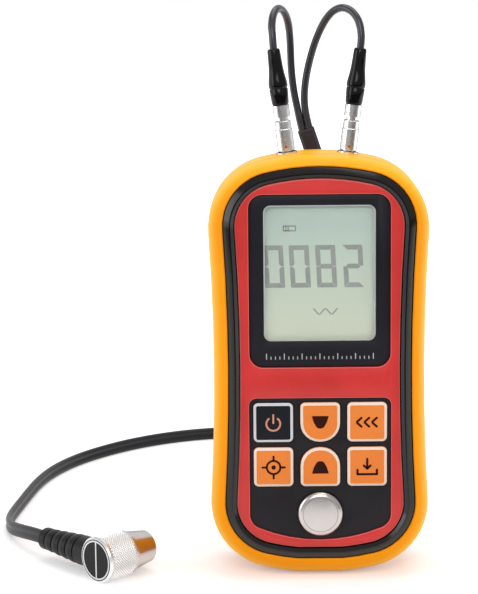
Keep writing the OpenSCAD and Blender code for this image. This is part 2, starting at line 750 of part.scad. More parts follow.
module pulser_coil() {
    color("#3a3a3a") face() translate([part_out, part_z, board_back_f - coil_h]) {
        cylinder(d = coil_d, h = coil_flange_t);
        cylinder(d = coil_d - 2 * coil_wind, h = coil_h);
        translate([0, 0, coil_h - coil_flange_t]) cylinder(d = coil_d, h = coil_flange_t);
    }
}

module board_screws() {
    color("gainsboro") at_bosses(board_boss) translate([0, 0, board_back_f - board_screw_head_h])
        screw(board_screw_head_r, board_screw_head_h, [[board_screw_r, board_screw_l]]);
}

module case_screws() {
    color("dimgray") at_bosses(case_boss) translate([0, 0, -case_head_y - case_screw_head_h])
        screw(case_screw_head_r, case_screw_head_h,
            [[case_screw_r, case_head_y + split_f], [case_pilot_r - pilot_gap, case_pilot_l]]);
}

// A cell stands on its spring; the middle one is turned end for end
module cell(i) {
    flip = i == 0;
    low = bay_z + contact_t + (flip ? 0 : spring_l);
    color("#3c6e9e") translate([i * cell_pitch, cell_y, low + (flip ? cell_l : 0)])
        rotate([flip ? 180 : 0, 0, 0]) {
            cylinder(d = cell_d, h = cell_l - cell_nub_h);
            translate([0, 0, cell_l - cell_nub_h - lap]) cylinder(d = cell_nub_d, h = cell_nub_h + lap);
        }
}
module battery_left() { cell(-1); }
module battery_middle() { cell(0); }
module battery_right() { cell(1); }

module battery_springs() {
    steps = 12;
    rise = spring_l - 2 * spring_wire;
    color("silver") for (i = [-1 : 1])
        translate([i * cell_pitch, cell_y, i == 0 ? bay_top - contact_t : bay_z + contact_t])
            rotate([i == 0 ? 180 : 0, 0, 0]) {
                coil = [for (k = [0 : steps * spring_turns])
                    let (u = k / (steps * spring_turns), a = k * 360 / steps, r = spring_r - u)
                    [r * cos(a), r * sin(a), spring_wire + u * rise]];
                skin([for (k = [0 : len(coil) - 1])
                    ring_on(coil[k], heading(coil, k), [0, 0, 1],
                        [for (q = [0 : 5]) spring_wire * [cos(q * 60), sin(q * 60)]])]);
            }
}

module battery_contacts() {
    color("silver") for (i = [-1 : 1]) for (z = [bay_z, bay_top - contact_t])
        translate([i * cell_pitch - contact_w / 2, cell_y - contact_h / 2, z])
            cube([contact_w, contact_h, contact_t]);
}

module battery_door() {
    h = door_high - door_low - 2 * door_gap;
    color("orange") {
        difference() {
            translate([0, back_d, (door_low + door_high) / 2]) rotate([90, 0, 0])
                linear_extrude(door_t) polygon(plate(door_w - 2 * door_gap, h, door_r, door_r));
            // Slot round the sprung latch tongue
            for (s = [-1, 1])
                translate([s * latch_w / 2 - latch_slot / 2, back_d - door_t - over, door_high - latch_h])
                    cube([latch_slot, door_t + 1, latch_h + 1]);
            for (i = [0 : groove_n - 1])
                translate([-groove_l / 2, back_d - groove_d, door_high - groove_from - i * 2 * groove_w])
                    cube([groove_l, groove_d + 1, groove_w]);
        }
        // Hooked tabs that catch under the lower lip of the pocket
        for (s = [-1, 1]) translate([s * tab_x - tab_w / 2, 0, 0]) {
            translate([0, tab_y - tab_t, tab_low])
                cube([tab_w, tab_t, tab_reach + door_lap + tab_root]);
            translate([0, tab_y - over, door_low + door_lap + door_gap])
                cube([tab_w, back_d - door_t - tab_y + 2 * over, tab_root - door_gap]);
        }
        // Catch of the latch tongue, against the upper wall of the bay
        translate([-catch_w / 2, door_seat_y - catch_d, bay_top - door_gap - catch_t])
            cube([catch_w, catch_d + door_seat_gap + over, catch_t]);
    }
}

// Local frame of a socket: z along its axis, from the crowned top of the case
module at_socket(side) {
    translate([side * socket_x, socket_y, socket_z]) rotate([0, side * socket_lean, 0]) children();
}

module socket(side) {
    color("silver") at_socket(side) {
        difference() {
            union() {
                translate([0, 0, -socket_sink]) cylinder(r = socket_flange_r, h = socket_flange_t);
                translate([0, 0, -socket_l]) cylinder(r = socket_r, h = socket_l - socket_sink + lap);
            }
            translate([0, 0, plug_z - socket_bore_l]) cylinder(r = socket_bore_r, h = socket_bore_l + 1);
        }
        translate([0, 0, plug_z - socket_bore_l - lap]) cylinder(r = socket_pin_r, h = socket_pin_l);
    }
}
module left_socket() { socket(-1); }
module right_socket() { socket(1); }

module socket_nuts() {
    color("silver") for (s = [-1, 1]) at_socket(s) translate([0, 0, -socket_boss_d - nut_t]) difference() {
        cylinder(d = nut_af / cos(30), h = nut_t, $fn = 6);
        translate([0, 0, -over]) cylinder(r = socket_r + pilot_gap, h = nut_t + 1);
    }
}

module plug(side) {
    color("gainsboro") at_socket(side) difference() {
        union() {
            translate([0, 0, plug_z - plug_nose_l]) cylinder(r = plug_nose_r, h = plug_nose_l + lap);
            translate([0, 0, plug_z]) cylinder(r = plug_core_r, h = plug_l);
            translate([0, 0, collar_z]) cylinder(r = collar_r, h = boot_z - collar_z);
            translate([0, 0, boot_z - lap]) cylinder(r = stub_r, h = stub_l + lap);
        }
        translate([0, 0, plug_z - plug_nose_l - over]) cylinder(r = plug_bore_r, h = plug_nose_l + over);
    }
}
module left_plug() { plug(-1); }
module right_plug() { plug(1); }

module sleeve(side) {
    r = sleeve_d / 2;
    bore = plug_core_r + slide_gap;
    color("silver") at_socket(side) translate([0, 0, sleeve_z]) rotate_extrude()
        polygon([[bore, 0], [r - sleeve_edge, 0], [r, sleeve_edge], [r, sleeve_l - sleeve_neck_l],
            [r - sleeve_step, sleeve_l - sleeve_neck_l + sleeve_step],
            [r - sleeve_step, sleeve_l - sleeve_edge], [r - sleeve_step - sleeve_edge, sleeve_l],
            [bore, sleeve_l]]);
}
module left_sleeve() { sleeve(-1); }
module right_sleeve() { sleeve(1); }

module boot(side) {
    r = sleeve_d / 2;
    step = boot_l * boot_step;
    bore = stub_r + pilot_gap;
    color("#242426") at_socket(side) translate([0, 0, boot_z]) rotate_extrude()
        polygon([[bore, 0], [r - boot_edge, 0], [r, boot_edge], [r - boot_swell, step - 3 * boot_edge],
            [r + boot_swell, step], [r, step + 3 * boot_edge], [boot_end_r, boot_l - boot_edge],
            [boot_end_r - boot_edge, boot_l], [0, boot_l], [0, stub_l + pilot_gap],
            [bore, stub_l + pilot_gap]]);
}
module left_boot() { boot(-1); }
module right_boot() { boot(1); }

module left_lead() {
    color("#2b2b2e")
        skin(route_rings(pulled(left_route, left_tip, left_end, lead_pull), octagon(lead_d)));
}
module right_lead() {
    color("#2b2b2e")
        skin(route_rings(pulled(right_route, right_tip, right_end, lead_pull), octagon(lead_d)));
}
module twin_lead() {
    start = splitter_to - grip * splitter_run;
    color("#2b2b2e")
        skin(route_rings(pulled(twin_route, start, tail_at, twin_pull), flat_octagon(2 * lead_d, lead_d)));
}

module cord_splitter() {
    l = norm(splitter_to - splitter_from);
    w = 2 * (lead_d + splitter_wall);
    t = lead_d + 2 * splitter_wall;
    e = splitter_edge;
    color("#333336") skin([for (q = [[0, e], [e, 0], [l - e, 0], [l, e]])
        ring_on(splitter_from + splitter_run * q[0], splitter_run, [1, 0, 0],
            flat_octagon(w - q[1], t - q[1]))]);
}

// Local frame of the probe: z along its axis from the label to the contact face
module probe_frame() {
    translate(probe_at) rotate([0, 0, probe_turn]) rotate([0, 90, 0]) children();
}
// Local frame of the side boot: z outwards, a little below the probe's axis
module boot_frame() {
    probe_frame() translate([boot_drop, 0, boot_s]) rotate([-90, 0, 0]) children();
}

module probe_body() {
    r = probe_r;
    bore = r - probe_wall;
    rim = label_r + pilot_gap;
    groove = r - cap_groove_d;
    color("lightgray") {
        difference() {
            union() {
                probe_frame() rotate_extrude() polygon([[0, label_t], [rim, label_t], [rim, 0],
                    [r - cap_edge, 0], [r, cap_edge], [r, cap_l], [groove, cap_l + cap_groove_d],
                    [groove, cap_l + 2 * cap_groove_d], [r, cap_l + 3 * cap_groove_d],
                    [r, probe_l - cap_edge], [r - cap_edge, probe_l], [bore, probe_l], [bore, cap_t],
                    [0, cap_t]]);
                boot_frame() translate([0, 0, bore + lap])
                    cylinder(r = boot_seat_r, h = boot_seat - bore - lap);
            }
            boot_frame() translate([0, 0, bore / 2]) cylinder(r = boot_neck_r + pilot_gap, h = r);
            probe_frame() translate([0, 0, cap_t]) cylinder(r = bore, h = probe_l);
        }
    }
}

module probe_label() { color("#1c1c1e") probe_frame() cylinder(r = label_r, h = label_t); }

module probe_tip() {
    skirt = probe_l - tip_skirt_l;
    skirt_r = probe_r - probe_wall - pilot_gap;
    bore = guide_d / 2 + pilot_gap;
    shoulder = probe_l + tip_shoulder_l;
    end = probe_l + tip_l;
    color("silver") probe_frame() rotate_extrude()
        polygon([[bore, skirt], [skirt_r, skirt], [skirt_r, probe_l], [tip_shoulder_r, probe_l],
            [tip_shoulder_r, shoulder], [tip_shoulder_r - tip_edge, shoulder + tip_edge],
            [tip_d / 2 + tip_edge, end - tip_edge], [tip_d / 2, end], [bore, end]]);
}

// One half of the round sound path: side 1 sends, side -1 receives
module half_round(side, s0, s1) {
    probe_frame() intersection() {
        translate([0, 0, s0]) cylinder(d = guide_d, h = s1 - s0);
        translate([-guide_d, side > 0 ? barrier_t / 2 : -guide_d - barrier_t / 2, s0 - 1])
            cube([2 * guide_d, guide_d, s1 - s0 + 2]);
    }
}
module send_guide() { color("burlywood") half_round(1, guide_s, probe_l + tip_l); }
module receive_guide() { color("burlywood") half_round(-1, guide_s, probe_l + tip_l); }
module send_crystal() { color("gold") half_round(1, guide_s - crystal_t, guide_s); }
module receive_crystal() { color("gold") half_round(-1, guide_s - crystal_t, guide_s); }

module sound_barrier() {
    color("saddlebrown") probe_frame() intersection() {
        translate([0, 0, guide_s - crystal_t]) cylinder(d = guide_d, h = guide_l + crystal_t);
        translate([-guide_d, -barrier_t / 2, 0]) cube([2 * guide_d, barrier_t, 2 * probe_l]);
    }
}

module probe_backing() {
    color("slategray") probe_frame() translate([0, 0, guide_s - crystal_t - backing_l])
        cylinder(d = guide_d, h = backing_l);
}

// A plain root, a row of rounded ribs with narrow grooves, and a plain tail
module probe_boot() {
    neck = probe_r - probe_wall + lap;
    end = boot_seat + probe_boot_l;
    taper = (boot_out_r - boot_tail_r) / boot_rib_n;
    edge = boot_groove_w / 5;
    ribs = [for (i = [0 : boot_rib_n - 1])
        let (s = boot_seat + boot_root_l + i * boot_pitch, r = boot_out_r - i * taper,
            low = r - boot_groove_d, next = r - taper, mid = s + (boot_groove_w + boot_pitch) / 2)
        each [[r, s], [low, s + edge], [low, s + boot_groove_w - edge], [next, s + boot_groove_w],
            [next + boot_bulge, mid]]];
    tail = boot_seat + boot_root_l + boot_rib_n * boot_pitch;
    color("#1d1d1f") boot_frame() rotate_extrude() polygon(concat(
        [[0, neck], [boot_neck_r, neck], [boot_neck_r, boot_seat], [boot_out_r, boot_seat]], ribs,
        [[boot_tail_r, tail], [boot_tail_r - boot_groove_d, tail + edge],
         [boot_tail_r - boot_groove_d, tail + 2 * edge], [boot_tail_r, tail + 3 * edge],
         [boot_tail_r, end - 2 * edge], [boot_tail_r - 2 * edge, end], [0, end]]));
}

rear_case();
front_case();
trim_ring();
face_panel();
window_bezel();
display_lens();
lcd_panel();
backlight();
keypad_overlay();
keypad_mat();
power_key();
down_key();
speed_key();
zero_key();
up_key();
save_key();
test_block();
circuit_board();
processor_chip();
timing_chip();
pulser_coil();
board_screws();
case_screws();
battery_left();
battery_middle();
battery_right();
battery_springs();
battery_contacts();
battery_door();
left_socket();
right_socket();
socket_nuts();
left_plug();
right_plug();
left_sleeve();
right_sleeve();
left_boot();
right_boot();
left_lead();
right_lead();
cord_splitter();
twin_lead();
probe_boot();
probe_body();
probe_label();
probe_tip();
probe_backing();
send_crystal();
receive_crystal();
send_guide();
receive_guide();
sound_barrier();
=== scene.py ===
import json
import math
import bpy
from mathutils import Matrix, Vector


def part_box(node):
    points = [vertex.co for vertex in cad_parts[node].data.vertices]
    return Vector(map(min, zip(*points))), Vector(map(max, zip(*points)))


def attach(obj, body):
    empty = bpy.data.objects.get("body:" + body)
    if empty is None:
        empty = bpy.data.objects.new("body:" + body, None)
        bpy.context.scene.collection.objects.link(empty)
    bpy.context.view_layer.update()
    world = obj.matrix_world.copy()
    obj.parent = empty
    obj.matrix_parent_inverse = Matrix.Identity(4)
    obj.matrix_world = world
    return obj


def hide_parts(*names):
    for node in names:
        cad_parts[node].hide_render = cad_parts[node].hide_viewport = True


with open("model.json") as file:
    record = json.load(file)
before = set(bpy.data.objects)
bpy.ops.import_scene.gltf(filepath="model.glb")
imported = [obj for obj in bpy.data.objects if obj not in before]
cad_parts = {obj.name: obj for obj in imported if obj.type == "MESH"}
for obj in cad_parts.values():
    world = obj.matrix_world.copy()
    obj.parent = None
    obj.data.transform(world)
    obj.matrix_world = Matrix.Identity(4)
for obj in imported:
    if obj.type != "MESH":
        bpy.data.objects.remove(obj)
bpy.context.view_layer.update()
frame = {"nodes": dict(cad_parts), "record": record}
nodes = frame["nodes"]
nodeBody = {n: b for b, names in frame["record"]["behaviour"]["bodies"].items() for n in names}
mm = 0.001
quarter = math.pi / 2
touch = 0.000001  # points nearer than this are level with each other
print("frame loaded:", len(nodes), "nodes")


def editMode():
    bpy.ops.object.mode_set(mode="EDIT")


def objectMode():
    bpy.ops.object.mode_set(mode="OBJECT")


def clearPick():
    if bpy.context.mode != "OBJECT":
        objectMode()
    bpy.ops.object.select_all(action="DESELECT")


def focus(obj):
    clearPick()
    obj.select_set(True)
    bpy.context.view_layer.objects.active = obj


def startPick(obj, kind):  # nothing selected, ready for points, edges or faces to be picked in code
    focus(obj)
    editMode()
    bpy.ops.mesh.select_mode(type=kind)
    bpy.ops.mesh.select_all(action="DESELECT")
    objectMode()


def pickFaces(obj, test):  # leaves the piece in edit mode with the tested faces selected
    startPick(obj, "FACE")
    for face in obj.data.polygons:
        face.select = test(face.center, face.normal)
    editMode()


def pickEdges(obj, test):  # the test gets the two ends of an edge
    startPick(obj, "EDGE")
    spots = [v.co for v in obj.data.vertices]
    for edge in obj.data.edges:
        edge.select = test(spots[edge.vertices[0]], spots[edge.vertices[1]])
    editMode()


def pickPoints(obj, test):
    startPick(obj, "VERT")
    for point in obj.data.vertices:
        point.select = test(point.co)
    editMode()


def pickAll(obj):
    focus(obj)
    editMode()
    bpy.ops.mesh.select_all(action="SELECT")


def turnOut():  # all faces of the piece in edit mode point outwards, and edit mode ends
    bpy.ops.mesh.select_all(action="SELECT")
    bpy.ops.mesh.normals_make_consistent(inside=False)
    objectMode()


def fixPlace():  # the place, turn and scale of a new primitive go into its mesh
    bpy.ops.object.transform_apply(location=True, rotation=True, scale=True)


def modify(obj, kind, **values):
    focus(obj)
    step = obj.modifiers.new(kind.title(), kind)
    for key, value in values.items():
        setattr(step, key, value)
    bpy.ops.object.modifier_apply(modifier=step.name)


def shadeByAngle(obj, angle):
    focus(obj)
    bpy.ops.object.shade_smooth_by_angle(angle=math.radians(angle), keep_sharp_edges=False)


def newObject(name, data):
    obj = bpy.data.objects.new(name, data)
    bpy.context.scene.collection.objects.link(obj)
    return obj


def settle(obj, name, body, finish):  # names a new piece and sets it on its body
    obj.name = name
    obj.data.name = name
    obj.data.materials.clear()
    obj.data.materials.append(finish)
    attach(obj, body)


# small shader nodes
def feed(tree, socket, value):  # a number or a colour is set, an output is linked
    if isinstance(value, (int, float, tuple)):
        socket.default_value = value
    else:
        tree.links.new(value, socket)


def setInputs(node, values):
    for label, value in values.items():
        node.inputs[label].default_value = value


def mathNode(tree, operation, *values):
    node = tree.nodes.new("ShaderNodeMath")
    node.operation = operation
    for socket, value in zip(node.inputs, values):
        feed(tree, socket, value)
    return node.outputs[0]


def mixColour(tree, share, first, second):
    node = tree.nodes.new("ShaderNodeMix")
    node.data_type = "RGBA"
    for place, value in ((0, share), (6, first), (7, second)):
        feed(tree, node.inputs[place], value)
    return node.outputs[2]


def ramp(tree, value, low, high, kind="SMOOTHSTEP", start=0.0):  # from start at low to 1 at high
    node = tree.nodes.new("ShaderNodeMapRange")
    node.interpolation_type = kind
    setInputs(node, {"From Min": low, "From Max": high, "To Min": start})
    tree.links.new(value, node.inputs["Value"])
    return node.outputs["Result"]


def noise(tree, vector, scale, detail=2):
    node = tree.nodes.new("ShaderNodeTexNoise")
    tree.links.new(vector, node.inputs["Vector"])
    feed(tree, node.inputs["Scale"], scale)
    node.inputs["Detail"].default_value = detail
    return node.outputs["Fac"]


def swing(tree, value, amount):  # a noise about its middle
    return mathNode(tree, "MULTIPLY", mathNode(tree, "SUBTRACT", value, 0.5), amount)


def split(tree, vector):
    node = tree.nodes.new("ShaderNodeSeparateXYZ")
    tree.links.new(vector, node.inputs[0])
    return node.outputs


def axisDistance(tree, parts):  # how far a point lies from the local x axis
    squares = [mathNode(tree, "MULTIPLY", parts[k], parts[k]) for k in ("Y", "Z")]
    return mathNode(tree, "SQRT", mathNode(tree, "ADD", *squares))


# shader groups: each is built once and placed in the materials with its own values
def newGroup(name, values):
    group = bpy.data.node_groups.new(name, "ShaderNodeTree")
    kinds = {"Vector": "NodeSocketVector", "Colour": "NodeSocketColor", "Shade": "NodeSocketColor"}
    for label in (*kinds, *values):
        kind = kinds.get(label, "NodeSocketFloat")
        socket = group.interface.new_socket(label, in_out="INPUT", socket_type=kind)
        if label in values:
            socket.default_value = values[label]
    for label in ("Colour", "Roughness", "Height"):
        group.interface.new_socket(label, in_out="OUTPUT", socket_type=kinds.get(label, "NodeSocketFloat"))
    return group, group.nodes.new("NodeGroupInput").outputs, group.nodes.new("NodeGroupOutput").inputs


def closeGroup(group, into, out, tone, rough, height):
    colour = mixColour(group, tone, into["Shade"], into["Colour"])
    for label, value in (("Colour", colour), ("Roughness", rough), ("Height", height)):
        group.links.new(value, out[label])
    return group


grainLook = {"pits": 2500, "low": 0.35, "high": 0.65, "speck": 0.5, "dulling": 0.08, "height": 0.0002,
             "coatRoughness": 0.12}
turnedLook = {"cloud": 260, "ringShare": 0.7, "cloudShare": 0.5, "dulling": 0.12, "height": 0.00005}


def buildMouldGrain():  # spark-eroded skin of moulded plastic: fine pits, and a slow drift of tone and gloss
    group, into, out = newGroup("mouldGrain", {"Pits": 2500.0, "Drift": 40.0, "Gloss": 0.4})
    pits = noise(group, into["Vector"], into["Pits"], 3)
    drift = noise(group, into["Vector"], into["Drift"], 4)
    spread = ramp(group, drift, grainLook["low"], grainLook["high"], "LINEAR")
    tone = mathNode(group, "ADD", spread, swing(group, pits, grainLook["speck"]))
    rough = mathNode(group, "ADD", into["Gloss"], swing(group, spread, grainLook["dulling"]))
    return closeGroup(group, into, out, tone, rough, pits)


def buildTurnedMarks():  # tool marks of turned metal round a local x axis: rings and faint clouds
    group, into, out = newGroup("turnedMarks", {"Along": 0.0, "Across": 1.0, "Pitch": 0.0003, "Gloss": 0.25})
    parts = split(group, into["Vector"])
    radius = axisDistance(group, parts)
    run = mathNode(group, "ADD", mathNode(group, "MULTIPLY", parts["X"], into["Along"]),
                   mathNode(group, "MULTIPLY", radius, into["Across"]))
    ring = group.nodes.new("ShaderNodeTexNoise")
    ring.noise_dimensions = "1D"
    setInputs(ring, {"Scale": 1, "Detail": 4})
    group.links.new(mathNode(group, "DIVIDE", run, into["Pitch"]), ring.inputs["W"])
    cloud = noise(group, into["Vector"], turnedLook["cloud"])
    tone = mathNode(group, "ADD", mathNode(group, "MULTIPLY", ring.outputs["Fac"], turnedLook["ringShare"]),
                    mathNode(group, "MULTIPLY", cloud, turnedLook["cloudShare"]))
    rough = mathNode(group, "ADD", into["Gloss"], swing(group, cloud, turnedLook["dulling"]))
    return closeGroup(group, into, out, tone, rough, ring.outputs["Fac"])


grainGroup = buildMouldGrain()
turnedGroup = buildTurnedMarks()


def newFinish(name):
    finish = bpy.data.materials.new(name)
    finish.use_nodes = True
    tree = finish.node_tree
    return finish, tree, tree.nodes["Principled BSDF"]


def localSpot(tree, at=(0, 0, 0), turn=(0, 0, 0)):  # object coordinates centred and turned on a piece
    coords = tree.nodes.new("ShaderNodeTexCoord")
    mapping = tree.nodes.new("ShaderNodeMapping")
    mapping.vector_type = "TEXTURE"
    setInputs(mapping, {"Location": at, "Rotation": turn})
    tree.links.new(coords.outputs["Object"], mapping.inputs["Vector"])
    return mapping.outputs[0]


def placeGroup(tree, shader, group, spot, depth, distance, **values):  # its tone, roughness and bump
    node = tree.nodes.new("ShaderNodeGroup")
    node.node_tree = group
    for key, value in values.items():
        feed(tree, node.inputs[key.title()], value)
    tree.links.new(spot, node.inputs["Vector"])
    tree.links.new(node.outputs["Colour"], shader.inputs["Base Color"])
    tree.links.new(node.outputs["Roughness"], shader.inputs["Roughness"])
    bump = tree.nodes.new("ShaderNodeBump")
    setInputs(bump, {"Strength": depth, "Distance": distance})
    tree.links.new(node.outputs["Height"], bump.inputs["Height"])
    tree.links.new(bump.outputs[0], shader.inputs["Normal"])


def moulded(name, colour, shade, gloss=0.4, drift=40, depth=0.05, coat=0.0, specular=0.5):
    finish, tree, shader = newFinish(name)
    placeGroup(tree, shader, grainGroup, localSpot(tree), depth, grainLook["height"], colour=(*colour, 1),
               shade=(*shade, 1), pits=grainLook["pits"], drift=drift, gloss=gloss)
    setInputs(shader, {"Coat Weight": coat, "Coat Roughness": grainLook["coatRoughness"],
                       "Specular IOR Level": specular})
    return finish


def turned(name, colour, shade, at=(0, 0, 0), turn=(0, 0, 0), along=1, across=1, pitch=0.0003, gloss=0.25,
           depth=0.1):
    finish, tree, shader = newFinish(name)
    placeGroup(tree, shader, turnedGroup, localSpot(tree, at, turn), depth, turnedLook["height"],
               colour=(*colour, 1), shade=(*shade, 1), along=along, across=across, pitch=pitch, gloss=gloss)
    shader.inputs["Metallic"].default_value = 1
    return finish


def paintedEdgeLight(finish, tone, start, full):  # paints another tone where the surface turns away from the eye, paler or darker as given: painted edge light
    tree = finish.node_tree
    shader = tree.nodes["Principled BSDF"]
    facing = tree.nodes.new("ShaderNodeLayerWeight")
    facing.inputs["Blend"].default_value = 0.5
    plainTone = shader.inputs["Base Color"].links[0].from_socket
    share = ramp(tree, facing.outputs["Facing"], start, full)
    tree.links.new(mixColour(tree, share, plainTone, (*tone, 1)), shader.inputs["Base Color"])
    return finish


# camera at the photograph's angle
view = {"place": (-21.5, -684, 218.5), "aim": (-27.25, 5.5, 94.6), "roll": 0.6, "lens": 122.6, "sensor": 36,
        "near": 0.01, "far": 50}
bpy.ops.object.camera_add()
camera = bpy.context.object
camera.name = "photoCamera"
place, aim = Vector(view["place"]) * mm, Vector(view["aim"]) * mm
turn = (aim - place).to_track_quat("-Z", "Y").to_matrix().to_4x4()
camera.matrix_world = Matrix.Translation(place) @ turn @ Matrix.Rotation(math.radians(-view["roll"]), 4, "Z")
camera.data.sensor_fit = "VERTICAL"
camera.data.sensor_height = view["sensor"]
camera.data.lens = view["lens"]
camera.data.clip_start, camera.data.clip_end = view["near"], view["far"]
bpy.context.scene.camera = camera
print("camera set")

# moulded finishes: a tone, a darker tone and the skin
caseOrange = moulded("caseOrange", (0.95, 0.325, 0.003), (0.91, 0.295, 0.003), depth=0.08, specular=0.08)
# painted side light: the case is painted paler and yellower where it turns away from the eye
paintedEdgeLight(caseOrange, (1.0, 0.52, 0.02), start=0.25, full=0.9)
trimBlack = moulded("trimBlack", (0.005, 0.003, 0.003), (0.003, 0.002, 0.002), gloss=0.16, depth=0.02,
                    specular=0.42)
panelRed = moulded("panelRed", (0.62, 0.032, 0.029), (0.53, 0.027, 0.025), gloss=0.36, depth=0.06, coat=0.35,
                   specular=0.22)
# painted highlight on the panel's rounded edges
paintedPanelHighlight = moulded("paintedPanelHighlight", (0.72, 0.15, 0.13), (0.64, 0.12, 0.10), gloss=0.3, depth=0.03, specular=0.3)
bezelBlack = moulded("bezelBlack", (0.013, 0.012, 0.017), (0.009, 0.0085, 0.012), gloss=0.42, depth=0.06,
                     specular=0.2)
overlayBlack = moulded("overlayBlack", (0.015, 0.013, 0.016), (0.011, 0.0095, 0.012), gloss=0.46, depth=0.08,
                       specular=0.2)
keyOrange = moulded("keyOrange", (0.79, 0.225, 0.035), (0.75, 0.195, 0.028), gloss=0.45, specular=0.3)
keyRim = moulded("keyRim", (0.86, 0.72, 0.62), (0.80, 0.62, 0.50), gloss=0.35, depth=0.04)
keyDark = moulded("keyDark", (0.008, 0.009, 0.014), (0.006, 0.007, 0.010), specular=0.2)
keyDarkRim = moulded("keyDarkRim", (0.66, 0.66, 0.67), (0.54, 0.54, 0.56), gloss=0.3, depth=0.04)
markBrown = moulded("markBrown", (0.040, 0.006, 0.002), (0.028, 0.004, 0.002), gloss=0.6, specular=0.1)
markCopper = moulded("markCopper", (0.62, 0.26, 0.18), (0.54, 0.21, 0.14), gloss=0.45)
markWhite = moulded("markWhite", (0.80, 0.80, 0.80), (0.70, 0.70, 0.70), gloss=0.45)
# painted highlight for the polished edge of the clear window
paneHighlight = moulded("paneHighlight", (0.62, 0.64, 0.63), (0.52, 0.54, 0.53), gloss=0.2, depth=0.02)
markGrey = moulded("markGrey", (0.42, 0.42, 0.43), (0.34, 0.34, 0.35), gloss=0.45)
markRed = moulded("markRed", (0.40, 0.03, 0.02), (0.30, 0.02, 0.015), gloss=0.35)
lcdInk = moulded("lcdInk", (0.36, 0.38, 0.36), (0.32, 0.34, 0.32), gloss=0.5, depth=0.02, drift=120,
                 specular=0.2)
bootRubber = moulded("bootRubber", (0.003, 0.003, 0.0035), (0.002, 0.002, 0.0025), gloss=0.1, depth=0.01,
                     specular=0.24)
ribRubber = moulded("ribRubber", (0.008, 0.008, 0.009), (0.005, 0.005, 0.006), gloss=0.42, depth=0.12,
                    specular=0.24)
leadBlack = moulded("leadBlack", (0.016, 0.015, 0.018), (0.011, 0.0105, 0.013), gloss=0.38, depth=0.06,
                    specular=0.3)
singleBlack = moulded("singleBlack", (0.028, 0.028, 0.037), (0.021, 0.021, 0.028), gloss=0.26, depth=0.03,
                      specular=0.55)
splitterBlack = moulded("splitterBlack", (0.030, 0.029, 0.040), (0.022, 0.021, 0.030), gloss=0.5, depth=0.1,
                        specular=0.3)
labelBlack = moulded("labelBlack", (0.007, 0.007, 0.008), (0.005, 0.005, 0.006), depth=0.04, specular=0.2)
boardGreen = moulded("boardGreen", (0.02, 0.13, 0.05), (0.015, 0.10, 0.04), depth=0.1, drift=200)
chipBlack = moulded("chipBlack", (0.014, 0.014, 0.015), (0.010, 0.010, 0.011), gloss=0.55, depth=0.1)
lightWhite = moulded("lightWhite", (0.75, 0.77, 0.78), (0.70, 0.72, 0.73), gloss=0.5, depth=0.02)
matGrey = moulded("matGrey", (0.12, 0.12, 0.125), (0.09, 0.09, 0.095), gloss=0.6, depth=0.1)
cellWrap = moulded("cellWrap", (0.03, 0.12, 0.28), (0.02, 0.09, 0.22), gloss=0.3, depth=0.03, coat=0.4)
guideAmber = moulded("guideAmber", (0.42, 0.22, 0.05), (0.34, 0.17, 0.04), gloss=0.3, depth=0.03)
barrierBrown = moulded("barrierBrown", (0.12, 0.05, 0.02), (0.08, 0.035, 0.015), gloss=0.7, depth=0.2)
backingGrey = moulded("backingGrey", (0.12, 0.13, 0.15), (0.09, 0.10, 0.11), gloss=0.6, depth=0.2)

# the glass tones paint light: lighter and warmer below, darker and cooler above
glass = {"middle": 106 * mm, "low": -22 * mm, "high": 18 * mm, "below": (0.66, 0.70, 0.565, 1),
         "above": (0.52, 0.625, 0.57, 1), "shade": (0.3, 0.33, 0.3, 1), "even": 0.94, "mottle": 900,
         "drift": 30}


def buildLcdGrey():  # painted light: the glass is painted darker and cooler at the top, lighter and warmer below, with a faint mottle
    finish, tree, shader = newFinish("lcdGrey")
    spot = localSpot(tree, (0, 0, glass["middle"]))
    slope = ramp(tree, split(tree, spot)["Z"], glass["low"], glass["high"], "LINEAR")
    tint = mixColour(tree, slope, glass["below"], glass["above"])
    shade = mixColour(tree, glass["even"], glass["shade"], tint)
    placeGroup(tree, shader, grainGroup, spot, 0.02, grainLook["height"], colour=tint, shade=shade,
               pits=glass["mottle"], drift=glass["drift"], gloss=0.35)
    return finish


pane = {"wide": 37.5, "high": 46.0, "level": 106.2, "front": -15.5, "proud": 0.02, "corner": 2.4, "round": 8,
        "line": 0.4, "thick": 0.12, "tint": (0.98, 0.99, 0.98, 1), "index": 1.12, "haze": 60,
        "hazeDepth": 0.05}


def buildWindowClear():
    finish, tree, shader = newFinish("windowClear")
    setInputs(shader, {"Base Color": pane["tint"], "Transmission Weight": 1, "IOR": pane["index"]})
    haze = noise(tree, localSpot(tree), pane["haze"])
    tree.links.new(mathNode(tree, "MULTIPLY", haze, pane["hazeDepth"]), shader.inputs["Roughness"])
    return finish


# turned metal: the marks run round the axis of each piece
probe = {"cap": Vector((-76.9, -19.3, 8)) * mm, "turn": math.radians(45), "radius": 8 * mm, "drawnIn": 0.965,
         "from": 1.3 * mm, "to": 12.3 * mm, "within": 0.03 * mm}
block = {"middle": Vector((0, -18.2, 23.1)) * mm, "line": 5.95 * mm, "lineWide": 0.22 * mm,
         "lineThick": 0.06 * mm, "steps": 56}
plugSeat = {"left": {"foot": Vector((-10.4, 4.5, 144.56)) * mm, "lean": math.radians(-7)},
            "right": {"foot": Vector((10.4, 4.5, 144.56)) * mm, "lean": math.radians(7)}}
probeTurn = (0, 0, probe["turn"])
blockTurn = (0, 0, quarter)


def buildPlugMetal(side):  # bright, with a painted dark reflection along the outline that round metal shows on a pale ground
    seat = plugSeat[side]
    finish = turned(side + "PlugMetal", (0.93, 0.93, 0.93), (0.76, 0.76, 0.77), seat["foot"],
                    (0, seat["lean"] - quarter, 0), across=0.2, pitch=0.0005, gloss=0.26, depth=0.12)
    finish.node_tree.nodes["Principled BSDF"].inputs["Specular Tint"].default_value = (0.1, 0.1, 0.1, 1)
    return paintedEdgeLight(finish, (0.02, 0.02, 0.02), start=0.62, full=0.9)


